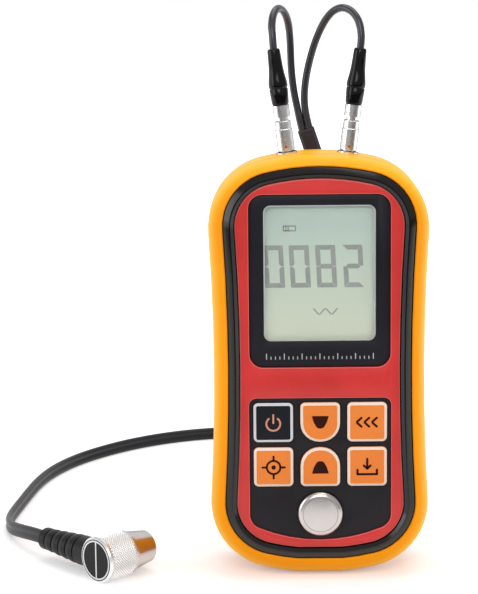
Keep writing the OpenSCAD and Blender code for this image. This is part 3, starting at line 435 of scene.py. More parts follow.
lcdGrey = buildLcdGrey()
windowClear = buildWindowClear()
plugMetal = {side: buildPlugMetal(side) for side in plugSeat}
blockSteel = turned("blockSteel", (0.72, 0.675, 0.655), (0.50, 0.465, 0.45), block["middle"], blockTurn,
                    along=0, pitch=0.00022, gloss=0.24, depth=0.18)
# a darker steel for the painted shade line on the test block
shadeLineSteel = turned("shadeLineSteel", (0.40, 0.375, 0.36), (0.30, 0.28, 0.27), block["middle"], blockTurn, along=0)
tipSteel = turned("tipSteel", (0.66, 0.62, 0.60), (0.46, 0.43, 0.41), probe["cap"], probeTurn, across=0.4,
                  gloss=0.22)
# painted dark reflection where the tip turns away from the eye
paintedEdgeLight(tipSteel, (0.10, 0.07, 0.06), start=0.55, full=0.95)
capMetal = turned("capMetal", (0.90, 0.90, 0.90), (0.74, 0.74, 0.74), probe["cap"], probeTurn, gloss=0.3)
crystalSilver = turned("crystalSilver", (0.80, 0.80, 0.78), (0.65, 0.65, 0.62), probe["cap"], probeTurn,
                       along=0, gloss=0.4)
screwZinc = turned("screwZinc", (0.62, 0.62, 0.64), (0.45, 0.45, 0.47), gloss=0.35)
contactMetal = turned("contactMetal", (0.75, 0.74, 0.70), (0.58, 0.57, 0.53), gloss=0.3)
print("finishes made")

# cords: the two leads turn over backwards and join, the twin lead goes round to the probe
leadRoutes = {
    "left": [(-14.69, 4.5, 179.5), (-15, 4.7, 184), (-15.2, 6.2, 188), (-14.5, 9, 191.6), (-12.9, 12.8, 193.2),
             (-11, 16.6, 191.9), (-9.6, 19.8, 188.6), (-8.9, 21.8, 184), (-8.6, 23, 178.5), (-8.4, 23.5, 173),
             (-8, 23.6, 168), (-7.3, 23.6, 163), (-6.3, 23.5, 158), (-5.6, 23.4, 154.5), (-4.58, 23.65, 150.13)],
    "right": [(14.69, 4.5, 179.5), (15, 4.7, 184), (14.3, 5.8, 188.5), (12.3, 7.8, 191.8), (9.3, 10.4, 193.3),
              (6.2, 13.2, 192.3), (3.6, 15.8, 189.4), (1.5, 18.2, 185.4), (-0.3, 20.2, 180.8), (-1.8, 21.8, 175.6),
              (-3, 22.8, 170.2), (-3.7, 23.3, 165), (-3.8, 23.5, 160), (-3.2, 23.4, 155.5), (-2.11, 23.51, 150.93)]}
twinRoute = [  # the fourth value turns the cores from side by side, 0, to one above the other, 1
    (1.34, 25.92, 136.47, 0), (4, 28, 124, 0), (6, 31, 112, 0), (7.5, 35, 100, 0), (9, 39.5, 88, 0),
    (10, 44.5, 76, 0), (11, 50, 64, 0), (12, 56.5, 52, 0), (13, 64, 40, 0), (13.5, 72.5, 29, 0), (14, 82.5, 19, 0),
    (14.5, 94, 10.5, 0), (15, 107, 4.5, 0), (15, 121, 1.8, 0), (14, 135, 1.8, 0.15), (11, 149, 2.3, 0.45),
    (5, 162, 2.7, 0.8), (-4, 172, 2.6, 1), (-16, 178.5, 2.6, 1), (-28.5, 181, 2.6, 1), (-41, 179.5, 2.6, 1),
    (-53.5, 175.5, 2.6, 1), (-65.5, 169, 2.6, 1), (-76.5, 160.5, 2.6, 1), (-86.5, 150, 2.6, 1),
    (-95, 138.5, 2.6, 1), (-101.6, 126, 2.6, 1), (-106.2, 113.2, 2.6, 1), (-109.2, 99.7, 2.6, 1),
    (-111.1, 86, 2.6, 1), (-112.6, 72.4, 2.6, 1), (-113.9, 60, 2.6, 1), (-114.5, 50.6, 2.7, 1),
    (-113.9, 41.8, 3.2, 1), (-111.6, 33, 4.1, 1), (-107.2, 24.2, 5.5, 1), (-101.9, 15.9, 6.8, 1),
    (-96.56, 8.84, 7.4, 1)]
cordSizes = {"lead": 2.6 * mm, "leadRound": 5, "twinWidth": 5.2 * mm, "lobe": 1.3 * mm, "lobeSweep": 290,
             "lobeApart": 0.98, "steps": 5, "round": 10}


def rounded(points, steps):  # points along a smooth line through the route
    line = []
    for i in range(len(points) - 1):
        p = [Vector(points[min(max(k, 0), len(points) - 1)]) for k in (i - 1, i, i + 1, i + 2)]
        for s in range(steps):
            t = s / steps
            line.append(0.5 * (2 * p[1] + (p[2] - p[0]) * t + (2 * p[0] - 5 * p[1] + 4 * p[2] - p[3]) * t * t
                               + (3 * p[1] - p[0] - 3 * p[2] + p[3]) * t ** 3))
    return line + [Vector(points[-1])]


def makeLead(side):
    line = [p * mm for p in rounded(leadRoutes[side], cordSizes["steps"])]
    curve = bpy.data.curves.new(side + "LeadLine", "CURVE")
    curve.dimensions = "3D"
    spline = curve.splines.new("POLY")
    spline.points.add(len(line) - 1)
    for point, spot in zip(spline.points, line):
        point.co = (*spot, 1)
    spline.use_smooth = True
    curve.bevel_depth = cordSizes["lead"] / 2
    curve.bevel_resolution = cordSizes["leadRound"]
    curve.use_fill_caps = True
    curve.materials.append(singleBlack)
    lead = newObject(side + "LeadCord", curve)
    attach(lead, nodeBody[side + "_lead"])
    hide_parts(side + "_lead")


def makeTwin():  # two round cores side by side with a groove between, turned as the route says
    spots = rounded(twinRoute, cordSizes["steps"])
    line = [Vector(p[:3]) * mm for p in spots]
    r, n, sweep = cordSizes["lobe"], cordSizes["round"], cordSizes["lobeSweep"]
    outline = []
    for sign in (1, -1):
        for k in range(n + 1):
            a = math.radians(-sweep / 2 + sweep * k / n)
            outline.append((sign * (r * cordSizes["lobeApart"] + r * math.cos(a)), sign * r * math.sin(a)))
    verts, faces, count = [], [], len(outline)
    for i, spot in enumerate(line):
        along = (line[min(i + 1, len(line) - 1)] - line[max(i - 1, 0)]).normalized()
        flat = min(max(spots[i][3], 0), 1)
        side = Vector((1 - flat, 0, flat))
        across = (side - side.dot(along) * along).normalized()
        through = along.cross(across)
        verts += [spot + across * a + through * b for a, b in outline]
        if i:
            low = (i - 1) * count
            faces += [(low + k, low + (k + 1) % count, low + count + (k + 1) % count, low + count + k)
                      for k in range(count)]
    faces += [tuple(range(count - 1, -1, -1)), tuple(range((len(line) - 1) * count, len(line) * count))]
    mesh = bpy.data.meshes.new("twinLeadCord")
    mesh.from_pydata(verts, [], faces)
    twin = newObject("twinLeadCord", mesh)
    shadeByAngle(twin, 50)
    mesh.materials.append(leadBlack)
    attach(twin, nodeBody["twin_lead"])
    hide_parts("twin_lead")


makeLead("left")
makeLead("right")
makeTwin()
print("cords laid")

# smooth copies of the solids that show, with their finishes
skinLook = {"weld": 3 * touch, "bevelFrom": 40, "bevelSegments": 2}
# where the painted shade goes on the front case's ledge
paintedShadeLedge = {"level": -13.6 * mm, "within": 0.05 * mm, "flat": -0.98}
roundedEdge = {"front": -0.97, "panelSide": -0.3, "keySide": -0.45, "keyDepth": 0.8 * mm}


def dressed(node, finish, angle=30, bevel=0.0, flat=0.0):
    piece = newObject(node + "_skin", nodes[node].data.copy())
    focus(piece)
    bpy.ops.mesh.customdata_custom_splitnormals_clear()
    pickAll(piece)
    bpy.ops.mesh.remove_doubles(threshold=skinLook["weld"])
    if flat:
        bpy.ops.mesh.dissolve_limited(angle_limit=math.radians(flat))
    objectMode()
    if bevel:
        modify(piece, "BEVEL", width=bevel, segments=skinLook["bevelSegments"], limit_method="ANGLE",
               angle_limit=math.radians(skinLook["bevelFrom"]), use_clamp_overlap=True)
    shadeByAngle(piece, angle)
    settle(piece, node + "_skin", nodeBody[node], finish)
    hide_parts(node)
    return piece


def paintFaces(piece, finish, test):  # a second finish on the tested faces
    piece.data.materials.append(finish)
    for face in piece.data.polygons:
        if test(face.center, face.normal):
            face.material_index = 1


def makeFrontCase():  # painted shade: the ledge under the ring and the panel is painted black
    front = dressed("front_case", caseOrange, angle=34)
    paintFaces(front, trimBlack, lambda c, n: n.y < paintedShadeLedge["flat"]
               and abs(c.y - paintedShadeLedge["level"]) < paintedShadeLedge["within"])


def makePanel():  # its rounded edges are painted paler red: a painted highlight
    panel = dressed("face_panel", panelRed, flat=0.2, bevel=0.3 * mm)
    paintFaces(panel, paintedPanelHighlight, lambda c, n: roundedEdge["front"] < n.y < roundedEdge["panelSide"])


def makeKey(node, finish, rimFinish):  # a key with a pale rim
    key = dressed(node, finish, angle=28, flat=0.3, bevel=0.16 * mm)
    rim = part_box(node)[0].y + roundedEdge["keyDepth"]
    paintFaces(key, rimFinish, lambda c, n: roundedEdge["front"] < n.y < roundedEdge["keySide"] and c.y < rim)


plugBoot = {"outline": ((2.5, 0), (2.8, 0.35), (2.93, 0.9), (3.08, 3.2), (3.17, 5.4), (3.02, 5.65), (3.02, 5.9),
                        (3.24, 6.15), (3.26, 6.9), (3.16, 7.9), (2.98, 9), (2.78, 10.2), (2.6, 11.6), (2.47, 12.9),
                        (2.34, 15.2), (2.2, 18.3), (2.05, 18.95), (1.75, 19.2)), "from": 16.5, "round": 40}


def onSocket(side):  # from a plug's own frame to the part's
    seat = plugSeat[side]
    return Matrix.Translation(seat["foot"]) @ Matrix.Rotation(seat["lean"], 4, "Y")


def onProbe(turn=0.0):  # from the probe's own frame, with x along its body, to the part's
    return Matrix.Translation(probe["cap"]) @ Matrix.Rotation(probe["turn"] + turn, 4, "Z")


def makeBoot(side):  # drawn up ring by ring along its outline
    outline = plugBoot["outline"]
    clearPick()
    bpy.ops.mesh.primitive_circle_add(vertices=plugBoot["round"], radius=outline[0][0] * mm, fill_type="NGON")
    boot = bpy.context.object
    pickAll(boot)
    bpy.ops.mesh.select_mode(type="FACE")
    for (width, low), (nextWidth, high) in zip(outline, outline[1:]):
        share = nextWidth / width
        bpy.ops.mesh.extrude_region_move(TRANSFORM_OT_translate={"value": (0, 0, (high - low) * mm)})
        bpy.ops.transform.resize(value=(share, share, 1), center_override=(0, 0, high * mm))
    turnOut()
    shadeByAngle(boot, 42)
    boot.data.transform(onSocket(side) @ Matrix.Translation((0, 0, plugBoot["from"] * mm)))
    settle(boot, side + "_boot_skin", nodeBody[side + "_boot"], bootRubber)
    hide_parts(side + "_boot")


def makeBarrel():  # drawn in under the knurl
    barrel = dressed("probe_body", capMetal)
    barrel.data.transform(onProbe().inverted())
    pickPoints(barrel, lambda p: probe["from"] < p.x < probe["to"]
               and abs(math.hypot(p.y, p.z) - probe["radius"]) < probe["within"])
    bpy.ops.transform.resize(value=(1, probe["drawnIn"], probe["drawnIn"]), center_override=(0, 0, 0))
    objectMode()
    barrel.data.transform(onProbe())


dressed("rear_case", caseOrange, angle=34)
makeFrontCase()
dressed("battery_door", caseOrange, flat=0.4, bevel=0.2 * mm)
dressed("trim_ring", trimBlack, angle=24)
makePanel()
dressed("window_bezel", bezelBlack, flat=0.3, bevel=0.25 * mm)
dressed("keypad_overlay", overlayBlack, flat=0.3, bevel=0.12 * mm)
dressed("display_lens", windowClear)
dressed("test_block", blockSteel, angle=32)
makeKey("power_key", keyDark, keyDarkRim)
for name in ("down_key", "speed_key", "zero_key", "up_key", "save_key"):
    makeKey(name, keyOrange, keyRim)
for side in plugSeat:
    for part in ("socket", "plug", "sleeve"):
        dressed(side + "_" + part, plugMetal[side], angle=32)
    makeBoot(side)
dressed("probe_boot", ribRubber, angle=40)
makeBarrel()
dressed("probe_tip", tipSteel)
dressed("probe_label", labelBlack)
for name, finish in (
        ("lcd_panel", lcdGrey), ("backlight", lightWhite), ("keypad_mat", matGrey), ("circuit_board", boardGreen),
        ("processor_chip", chipBlack), ("timing_chip", chipBlack), ("pulser_coil", chipBlack),
        ("board_screws", screwZinc), ("case_screws", screwZinc), ("battery_left", cellWrap),
        ("battery_middle", cellWrap), ("battery_right", cellWrap), ("battery_springs", contactMetal),
        ("battery_contacts", contactMetal), ("socket_nuts", screwZinc), ("cord_splitter", splitterBlack),
        ("probe_backing", backingGrey), ("send_crystal", crystalSilver), ("receive_crystal", crystalSilver),
        ("send_guide", guideAmber), ("receive_guide", guideAmber), ("sound_barrier", barrierBrown)):
    nodes[name].material_slots[0].material = finish
print("solids dressed")

# marks: thin raised bars, rings, discs and shields, modelled once and copied
discLook = {"round": 28, "inset": 0.25, "crown": 0.4}
shieldLook = {"waist": 0.78, "end": 0.46, "corner": 0.14, "segments": 8}


def addBar(size, at=(0, 0, 0)):
    clearPick()
    bpy.ops.mesh.primitive_cube_add(size=1, location=at)
    bar = bpy.context.object
    bar.scale = size
    fixPlace()
    return bar


def isUpright(a, b):  # an edge that runs through the thickness of a mark
    return abs(a.x - b.x) < touch and abs(a.z - b.z) < touch


def cutEdges(obj, test, offset, segments=1, clamp=False):
    pickEdges(obj, test)
    bpy.ops.mesh.bevel(offset=offset, offset_type="OFFSET", segments=segments, affect="EDGES",
                       clamp_overlap=clamp)
    objectMode()


def roundBar(length, width, thick, share=0.49, segments=5):  # round ends, or pointed ones in one segment
    bar = addBar((length, thick, width))
    cutEdges(bar, isUpright, width * share, segments)
    return bar


def mitreBar(length, width, thick, left=0.96, right=0.96):  # the lower side is cut back at both ends
    bar = addBar((length, thick, width))
    for sign, share in ((-1, left), (1, right)):
        cutEdges(bar, lambda a, b: isUpright(a, b) and a.z < -width * 0.49 and a.x * sign > length * 0.4,
                 width * share, clamp=True)
    return bar


def spunRing(radius, width, thick, sweep=360, steps=40):  # a ring in the plane of the face
    clearPick()
    bpy.ops.mesh.primitive_plane_add(size=1, location=(radius, 0, 0))
    ring = bpy.context.object
    ring.scale = (width, thick, 1)
    fixPlace()
    pickAll(ring)
    bpy.ops.mesh.spin(steps=steps, angle=math.radians(sweep), center=(0, 0, 0), axis=(0, 1, 0))
    bpy.ops.mesh.select_all(action="SELECT")
    bpy.ops.mesh.remove_doubles(threshold=2 * touch)
    if sweep >= 360:  # the section where the ring closes lies inside it
        bpy.ops.mesh.select_all(action="DESELECT")
        bpy.ops.mesh.select_interior_faces()
        bpy.ops.mesh.delete(type="FACE")
    turnOut()
    if sweep < 360:  # the opening is turned upwards
        middle = Vector((0, 0, 0))
        for corner in ring.data.vertices:
            middle += corner.co
        ring.data.transform(Matrix.Rotation(math.pi - math.atan2(middle.x, middle.z), 4, "Y"))
    return ring


def shield(width, height, thick):  # flat above, with full sides that narrow to a round end below
    plate = addBar((width, thick, height / 2), (0, 0, height / 4))
    pickFaces(plate, lambda c, n: n.z < -0.9)
    bpy.ops.transform.resize(value=(shieldLook["waist"], 1, 1))
    bpy.ops.mesh.extrude_region_move(TRANSFORM_OT_translate={"value": (0, 0, -height / 2)})
    bpy.ops.transform.resize(value=(shieldLook["end"], 1, 1))
    cutEdges(plate, lambda a, b: isUpright(a, b) and a.z < -height * 0.4, width * shieldLook["corner"],
             shieldLook["segments"], clamp=True)
    return plate


def dot(radius, thick):
    clearPick()
    bpy.ops.mesh.primitive_cylinder_add(vertices=discLook["round"], radius=radius, depth=thick)
    disc = bpy.context.object
    disc.rotation_euler = (quarter, 0, 0)
    fixPlace()
    pickFaces(disc, lambda c, n: n.y < -0.9)
    bpy.ops.mesh.inset(thickness=radius * discLook["inset"], depth=thick * discLook["crown"])
    objectMode()
    return disc


def copyOf(obj, place, turn=0.0, lean=0.0):  # a copy with its own mesh, turned in the face plane
    slant = Matrix.Identity(4)
    slant[0][2] = lean
    twin = newObject(obj.name + "Copy", obj.data.copy())
    twin.data.transform(Matrix.Translation(place) @ slant @ Matrix.Rotation(turn, 4, "Y"))
    return twin


def joined(parts):
    clearPick()
    for part in parts:
        part.select_set(True)
    bpy.context.view_layer.objects.active = parts[0]
    bpy.ops.object.join()
    return bpy.context.object


def drop(*objs):
    for obj in objs:
        bpy.data.objects.remove(obj)


def makePaneHighlight():  # a painted highlight: a fine pale frame round the clear window stands in for the glint of its polished edge
    clearPick()
    bpy.ops.mesh.primitive_plane_add(size=1, rotation=(quarter, 0, 0))
    edge = bpy.context.object
    edge.scale = (pane["wide"] * mm, pane["high"] * mm, 1)
    fixPlace()
    pickAll(edge)
    bpy.ops.mesh.bevel(offset=pane["corner"] * mm, offset_type="OFFSET", segments=pane["round"],
                       affect="VERTICES")
    pickFaces(edge, lambda c, n: True)
    bpy.ops.mesh.inset(thickness=pane["line"] * mm)
    bpy.ops.mesh.delete(type="FACE")
    objectMode()
    modify(edge, "SOLIDIFY", thickness=pane["thick"] * mm, offset=0)
    edge.data.transform(Matrix.Translation(Vector((0, pane["front"] - pane["proud"], pane["level"])) * mm))
    shadeByAngle(edge, 40)
    settle(edge, "paneHighlightFrame", nodeBody["display_lens"], paneHighlight)


readout = {"figures": "0082", "lefts": (-18.6, -9.95, -1.1, 8.0), "wide": 6.7, "low": 101.2, "high": 115.6,
           "bar": 1.6, "gap": 0.12, "point": 0.48, "foot": 0.45, "lean": -0.055, "front": -14.27,
           "thick": 0.08}
segmentSets = {"0": "abcdef", "2": "abged", "8": "abcdefg"}
displaySigns = {"line": 0.42, "cell": (-10, 121.3), "cellWide": 4.2, "cellHigh": 2.0, "cellSide": 0.8,
                "cellEnd": 2, "bars": (-11.2, -10.4), "waveArm": 2.9, "waveLine": 0.5, "waveFrom": -1.2,
                "waveStep": 2.1, "waveLevel": 93, "waveTurn": 48}


def onGlass(x, z):
    return Vector((x, readout["front"], z)) * mm


def makeReadout():
    bar, thick, gap = readout["bar"] * mm, readout["thick"] * mm, readout["gap"] * mm
    wide, tall = readout["wide"] * mm, (readout["high"] - readout["low"]) * mm
    middle = roundBar(wide - bar - 2 * gap, bar, thick, readout["point"], segments=1)
    cross = mitreBar(wide - 2 * gap, bar, thick)
    postOne = mitreBar(tall / 2 - 2 * gap, bar, thick, left=readout["foot"])
    postTwo = mitreBar(tall / 2 - 2 * gap, bar, thick, right=readout["foot"])
    across, up, half = (wide - bar) / 2, (tall - bar) / 2, tall / 4
    spots = {"a": (cross, 0, up, 0), "d": (cross, 0, -up, math.pi), "g": (middle, 0, 0, 0),
             "b": (postTwo, across, half, quarter), "c": (postOne, across, -half, quarter),
             "f": (postOne, -across, half, -quarter), "e": (postTwo, -across, -half, -quarter)}
    level = (readout["low"] + readout["high"]) / 2 * mm
    parts = []
    for figure, edge in zip(readout["figures"], readout["lefts"]):
        for segment in segmentSets[figure]:
            bit, x, z, turn = spots[segment]
            spot = Vector((edge * mm + wide / 2 + x + readout["lean"] * z, readout["front"] * mm, level + z))
            parts.append(copyOf(bit, spot, turn, readout["lean"]))
    drop(middle, cross, postOne, postTwo)
    settle(joined(parts), "readoutFigures", nodeBody["lcd_panel"], lcdInk)


def makeDisplaySigns():  # a cell sign above the figures and a wave sign below them
    thick, line = readout["thick"] * mm, displaySigns["line"] * mm
    side = roundBar(displaySigns["cellWide"] * mm, line, thick)
    end = roundBar(displaySigns["cellHigh"] * mm, line, thick)
    arm = roundBar(displaySigns["waveArm"] * mm, displaySigns["waveLine"] * mm, thick)
    (x, z), out, up = displaySigns["cell"], displaySigns["cellEnd"], displaySigns["cellSide"]
    parts = [copyOf(side, onGlass(x, level)) for level in (z + up, z - up)]
    parts += [copyOf(end, onGlass(spot, z), quarter) for spot in (x - out, x + out, *displaySigns["bars"])]
    for i in range(4):
        spot = onGlass(displaySigns["waveFrom"] + displaySigns["waveStep"] * i, displaySigns["waveLevel"])
        parts.append(copyOf(arm, spot, math.radians(displaySigns["waveTurn"]) * (-1 if i % 2 else 1)))
    drop(side, end, arm)
    settle(joined(parts), "displaySigns", nodeBody["lcd_panel"], lcdInk)


keyMarks = {"front": -17.51, "thick": 0.1 * mm, "columns": (-15.9, 0, 15.9), "rows": (55.3, 39.75)}
powerMark = {"radius": 2.35, "line": 0.62, "sweep": 292, "steps": 30, "ringUp": -0.35, "bar": 3.4,
             "barUp": 1.35}
arrowMark = {"wide": 5.7, "high": 4.3, "shift": 0.1}
speedMark = {"arm": 2.7, "line": 0.75, "shifts": (-2.7, -0.1, 2.5), "up": 0.85, "turn": math.radians(138)}
zeroMark = {"radius": 2.3, "line": 0.7, "hub": 0.75, "tick": 1.9, "reach": 3.2}
saveMark = {"line": 0.75, "shaft": 3.6, "shaftUp": 1.3, "base": 7.2, "baseUp": -2.6, "barb": 2.2,
            "end": (3.3, -1.8), "tip": (0.6, -0.1), "tipTurn": math.radians(45)}


def onKey(column, row, x=0.0, z=0.0):
    return Vector((keyMarks["columns"][column] + x, keyMarks["front"], keyMarks["rows"][row] + z)) * mm


def keyBar(length, line):
    return roundBar(length * mm, line * mm, keyMarks["thick"])


def makePowerMark():
    ring = spunRing(powerMark["radius"] * mm, powerMark["line"] * mm, keyMarks["thick"], powerMark["sweep"],
                    powerMark["steps"])
    bar = keyBar(powerMark["bar"], powerMark["line"])
    parts = [copyOf(ring, onKey(0, 0, 0, powerMark["ringUp"])),
             copyOf(bar, onKey(0, 0, 0, powerMark["barUp"]), quarter)]
    drop(ring, bar)
    settle(joined(parts), "powerMark", "power_key", markCopper)


def makeArrowMarks():
    plate = shield(arrowMark["wide"] * mm, arrowMark["high"] * mm, keyMarks["thick"])
    down = copyOf(plate, onKey(1, 0, 0, arrowMark["shift"]))
    settle(down, "downMark", "down_key", markBrown)
    up = copyOf(plate, onKey(1, 1, 0, -arrowMark["shift"]), math.pi)
    settle(up, "upMark", "up_key", markBrown)
    drop(plate)


def makeSpeedMark():  # three chevrons
    arm = keyBar(speedMark["arm"], speedMark["line"])
    parts = [copyOf(arm, onKey(2, 0, shift, sign * speedMark["up"]), sign * speedMark["turn"])
             for shift in speedMark["shifts"] for sign in (-1, 1)]
    drop(arm)
    settle(joined(parts), "speedMark", "speed_key", markBrown)


def makeZeroMark():  # a target: ring, hub and four ticks
    wheel = spunRing(zeroMark["radius"] * mm, zeroMark["line"] * mm, keyMarks["thick"])
    hub = dot(zeroMark["hub"] * mm, keyMarks["thick"])
    tick = keyBar(zeroMark["tick"], zeroMark["line"])
    parts = [copyOf(wheel, onKey(0, 1)), copyOf(hub, onKey(0, 1))]
    for a in (0, quarter, math.pi, 3 * quarter):
        spot = onKey(0, 1, zeroMark["reach"] * math.cos(a), zeroMark["reach"] * math.sin(a))
        parts.append(copyOf(tick, spot, -a))
    drop(wheel, hub, tick)
    settle(joined(parts), "zeroMark", "zero_key", markBrown)


def makeSaveMark():  # an arrow down into a tray
    shaft, barb, base = [keyBar(saveMark[k], saveMark["line"]) for k in ("shaft", "barb", "base")]
    (endX, endZ), (tipX, tipZ) = saveMark["end"], saveMark["tip"]
    parts = [copyOf(shaft, onKey(2, 1, 0, saveMark["shaftUp"]), quarter),
             copyOf(base, onKey(2, 1, 0, saveMark["baseUp"]))]
    parts += [copyOf(barb, onKey(2, 1, sign * endX, endZ), quarter) for sign in (-1, 1)]
    parts += [copyOf(barb, onKey(2, 1, sign * tipX, tipZ), -sign * saveMark["tipTurn"]) for sign in (-1, 1)]
    drop(shaft, barb, base)
    settle(joined(parts), "saveMark", "save_key", markBrown)


bezelScale = {"front": -16.21, "level": 76.9, "step": 1.5, "half": 12, "longEvery": 4, "short": 1.1,
              "long": 2.1, "line": 0.34, "thick": 0.1}


def makeBezelScale():  # a plain graduated scale under the window
    bars = {k: roundBar(bezelScale[k] * mm, bezelScale["line"] * mm, bezelScale["thick"] * mm)
            for k in ("short", "long")}
    parts = []
    for i in range(-bezelScale["half"], bezelScale["half"] + 1):
        kind = "short" if i % bezelScale["longEvery"] else "long"
        up = bezelScale["level"] + bezelScale[kind] / 2
        spot = Vector((i * bezelScale["step"], bezelScale["front"], up)) * mm
        parts.append(copyOf(bars[kind], spot, quarter))
    drop(*bars.values())
    settle(joined(parts), "bezelScale", nodeBody["window_bezel"], markGrey)


probeMarks = {"ring": 6.6 * mm, "ringLine": 0.52 * mm, "bar": 12.8 * mm, "barLine": 0.55 * mm,
              "thick": 0.12 * mm, "groove": 7.13 * mm, "grooveLine": 0.3 * mm, "grooveThick": 0.06 * mm,
              "steps": 56}


def makeProbeMarks():  # a pale ring and a dividing line on the end of the probe, and a dark ring of painted shade round them
    toCap = onProbe(-quarter)
    steps = probeMarks["steps"]
    ring = spunRing(probeMarks["ring"], probeMarks["ringLine"], probeMarks["thick"], steps=steps)
    line = roundBar(probeMarks["bar"], probeMarks["barLine"], probeMarks["thick"])
    line.data.transform(Matrix.Rotation(quarter, 4, "Y"))
    marks = joined([ring, line])
    marks.data.transform(toCap)
    settle(marks, "probeMarks", nodeBody["probe_label"], markWhite)
    groove = spunRing(probeMarks["groove"], probeMarks["grooveLine"], probeMarks["grooveThick"], steps=steps)
    groove.data.transform(toCap)
    settle(groove, "probeShadeRing", nodeBody["probe_label"], labelBlack)


def makeBlockShadeLine():  # painted shade: a fine darker line where the block's face starts to round off
    line = spunRing(block["line"], block["lineWide"], block["lineThick"], steps=block["steps"])
    line.data.transform(Matrix.Translation(block["middle"]))
    settle(line, "blockShadeLine", nodeBody["test_block"], shadeLineSteel)


knurl = {"round": 50, "rows": 11, "from": 1.5 * mm, "to": 12.05 * mm, "radius": 7.76 * mm, "rise": 0.27 * mm,
         "wall": 0.98, "grooveEdge": 7.75 * mm, "pointEdge": 7.90 * mm, "grooveTone": (0.56, 0.56, 0.56, 1),
         "pointTone": (1.0, 0.995, 0.99, 1), "cloud": 400, "dulling": 0.15, "gloss": 0.3}


def buildKnurlMetal():  # bright on the points, with painted shade darkening the grooves
    finish, tree, shader = newFinish("knurlMetal")
    spot = localSpot(tree, probe["cap"], probeTurn)
    radius = axisDistance(tree, split(tree, spot))
    rise = ramp(tree, radius, knurl["grooveEdge"], knurl["pointEdge"], "LINEAR")
    # painted shade: the tone darkens towards the grooves
    tone = mixColour(tree, rise, knurl["grooveTone"], knurl["pointTone"])
    tree.links.new(tone, shader.inputs["Base Color"])
    cloud = mathNode(tree, "MULTIPLY", noise(tree, spot, knurl["cloud"]), knurl["dulling"])
    tree.links.new(mathNode(tree, "ADD", cloud, knurl["gloss"]), shader.inputs["Roughness"])
    shader.inputs["Metallic"].default_value = 1
    return finish


def makeKnurl():  # a thin sleeve of small pyramids on diamonds round the probe
    depth = knurl["to"] - knurl["from"]
    half = depth / 2
    corner = knurl["radius"] - touch  # the first grid lies on the full radius, and its poked points inside it

    def isCorner(a):
        return Vector((a.x, a.y)).length > corner

    def isEnd(a, b):
        return abs(a.z - b.z) < touch and abs(a.z) > half - touch

    clearPick()
    bpy.ops.mesh.primitive_cylinder_add(vertices=knurl["round"], radius=knurl["radius"], depth=depth,
                                        end_fill_type="NOTHING")
    sleeve = bpy.context.object
    pickEdges(sleeve, lambda a, b: abs(a.z - b.z) > half)
    bpy.ops.mesh.subdivide(number_cuts=knurl["rows"] - 1)
    bpy.ops.mesh.select_mode(type="FACE")
    bpy.ops.mesh.select_all(action="SELECT")
    bpy.ops.mesh.poke(offset=0)
    pickEdges(sleeve, lambda a, b: isCorner(a) and isCorner(b) and not isEnd(a, b))
    bpy.ops.mesh.dissolve_edges(use_verts=False)
    startPick(sleeve, "FACE")
    editMode()
    bpy.ops.mesh.select_face_by_sides(number=4, type="EQUAL")
    bpy.ops.mesh.poke(offset=knurl["rise"])
    pickEdges(sleeve, isEnd)
    bpy.ops.mesh.extrude_edges_move()
    bpy.ops.transform.resize(value=(knurl["wall"], knurl["wall"], 1))
    bpy.ops.mesh.bridge_edge_loops()
    turnOut()
    middle = (knurl["from"] + knurl["to"]) / 2
    sleeve.data.transform(onProbe() @ Matrix.Translation((middle, 0, 0)) @ Matrix.Rotation(quarter, 4, "Y"))
    settle(sleeve, "probeKnurl", nodeBody["probe_body"], buildKnurlMetal())


indexDot = {"radius": 0.45, "thick": 0.3, "place": (0, -2.82, 2.4)}


def makeIndexDots():  # the index dot on each release sleeve
    for side in plugSeat:
        spot = dot(indexDot["radius"] * mm, indexDot["thick"] * mm)
        spot.data.transform(onSocket(side) @ Matrix.Translation(Vector(indexDot["place"]) * mm))
        settle(spot, side + "IndexDot", side + "_sleeve", markRed)


makePaneHighlight()
makeReadout()
makeDisplaySigns()
makePowerMark()
makeArrowMarks()
makeSpeedMark()
makeZeroMark()
makeSaveMark()
makeBezelScale()
makeProbeMarks()
makeBlockShadeLine()
makeKnurl()
makeIndexDots()
print("marks made")

# floor, world and lamps
studio = {"floor": 8.0, "floorTone": 0.86, "floorRough": 0.9, "floorShine": 0.1, "near": 0.16, "far": 0.55,
          "nearGlow": 0.30, "dimTone": 0.1, "dimFrom": 0.05, "dimTo": 0.3, "ambient": 0.5, "room": 0.5,
          "leftWall": 1.5, "rightWall": 0.5, "sideFrom": 0.7, "sideTo": 0.97, "backFrom": 0.1, "backTo": 0.6}
lampAim = Vector((0, 0, 0.08))
lamps = {"topBox": {"place": (0.05, 0.10, 0.95), "size": (0.9, 0.7), "watts": 4.0, "glare": True},
         "frontBox": {"place": (-0.05, -1.1, 0.75), "size": (0.7, 0.7), "watts": 5.3, "glare": True},
         "leftBox": {"place": (-0.9, -0.35, 0.3), "size": (0.5, 0.8), "watts": 2.3, "glare": True},
         "rightBox": {"place": (0.9, -0.35, 0.3), "size": (0.5, 0.8), "watts": 2.3, "glare": False}}


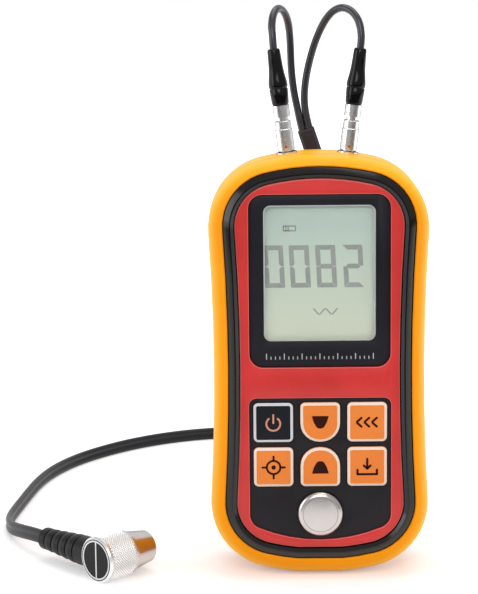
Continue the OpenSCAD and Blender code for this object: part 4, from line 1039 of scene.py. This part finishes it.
def makeFloor():  # pale, and brighter away from the object, so that it runs into the backdrop
    clearPick()
    bpy.ops.mesh.primitive_grid_add(x_subdivisions=4, y_subdivisions=4, size=studio["floor"])
    floor = bpy.context.object
    floor.name = "studioFloor"
    finish, tree, shader = newFinish("floorPale")
    setInputs(shader, {"Roughness": studio["floorRough"], "Specular IOR Level": studio["floorShine"],
                       "Emission Color": (1, 1, 1, 1)})
    ground = tree.nodes.new("ShaderNodeTexCoord").outputs["Object"]
    reach = tree.nodes.new("ShaderNodeVectorMath")
    reach.operation = "LENGTH"
    tree.links.new(ground, reach.inputs[0])
    fade = ramp(tree, reach.outputs["Value"], studio["near"], studio["far"], "LINEAR", studio["nearGlow"])
    rays = tree.nodes.new("ShaderNodeLightPath").outputs
    seen = mathNode(tree, "MAXIMUM", rays["Is Camera Ray"], mathNode(
        tree, "MAXIMUM", rays["Is Glossy Ray"], rays["Is Transmission Ray"]))
    forward = mathNode(tree, "MULTIPLY", split(tree, ground)["Y"], -1)
    dim = mathNode(tree, "MULTIPLY", rays["Is Glossy Ray"], ramp(
        tree, forward, studio["dimFrom"], studio["dimTo"]))  # gloss sees an unlit table towards the camera
    pale, dark = [(tone, tone, tone, 1) for tone in (studio["floorTone"], studio["dimTone"])]
    tree.links.new(mixColour(tree, dim, pale, dark), shader.inputs["Base Color"])
    glow = mathNode(tree, "MULTIPLY", mathNode(tree, "SUBTRACT", 1, dim), fade)
    tree.links.new(mathNode(tree, "MULTIPLY", seen, glow), shader.inputs["Emission Strength"])
    floor.data.materials.append(finish)


def makeWorld():  # gloss sees a bright wall at the left, paler ones at the right and behind, and a dim room
    world = bpy.data.worlds.new("studioWorld")
    bpy.context.scene.world = world
    world.use_nodes = True
    sky = world.node_tree
    backdrop = sky.nodes["Background"]
    backdrop.inputs["Color"].default_value = (1, 1, 1, 1)
    rays = sky.nodes.new("ShaderNodeLightPath").outputs
    compass = split(sky, sky.nodes.new("ShaderNodeTexCoord").outputs["Generated"])
    leftward = mathNode(sky, "MULTIPLY", compass["X"], -1)
    low, high = studio["sideFrom"], studio["sideTo"]
    left, right = [mathNode(sky, "MULTIPLY", ramp(sky, way, low, high), studio[wall])
                   for way, wall in ((leftward, "leftWall"), (compass["X"], "rightWall"))]
    behind = ramp(sky, compass["Y"], studio["backFrom"], studio["backTo"])
    walls = mathNode(sky, "MAXIMUM", mathNode(sky, "MAXIMUM", left, right), behind)
    gloss = mathNode(sky, "MULTIPLY", rays["Is Glossy Ray"], mathNode(sky, "MAXIMUM", walls, studio["room"]))
    clear = mathNode(sky, "MAXIMUM", rays["Is Camera Ray"], rays["Is Transmission Ray"])
    plain = mathNode(sky, "SUBTRACT", 1, mathNode(sky, "MAXIMUM", clear, rays["Is Glossy Ray"]))
    ambient = mathNode(sky, "MULTIPLY", plain, studio["ambient"])
    strength = mathNode(sky, "ADD", ambient, mathNode(sky, "MAXIMUM", clear, gloss))
    sky.links.new(strength, backdrop.inputs["Strength"])


def softLamp(name, place, size, watts, glare):
    bpy.ops.object.light_add(type="AREA", location=place)
    lamp = bpy.context.object
    lamp.name = name
    lamp.data.shape = "RECTANGLE"
    lamp.data.size, lamp.data.size_y = size
    lamp.data.energy = watts
    lamp.rotation_euler = (lampAim - Vector(place)).to_track_quat("-Z", "Y").to_euler()
    lamp.visible_glossy = glare


makeFloor()
makeWorld()
for name, values in lamps.items():
    softLamp(name, **values)
print("studio lit")

bpy.context.scene.view_settings.view_transform = "Standard"
clearPick()
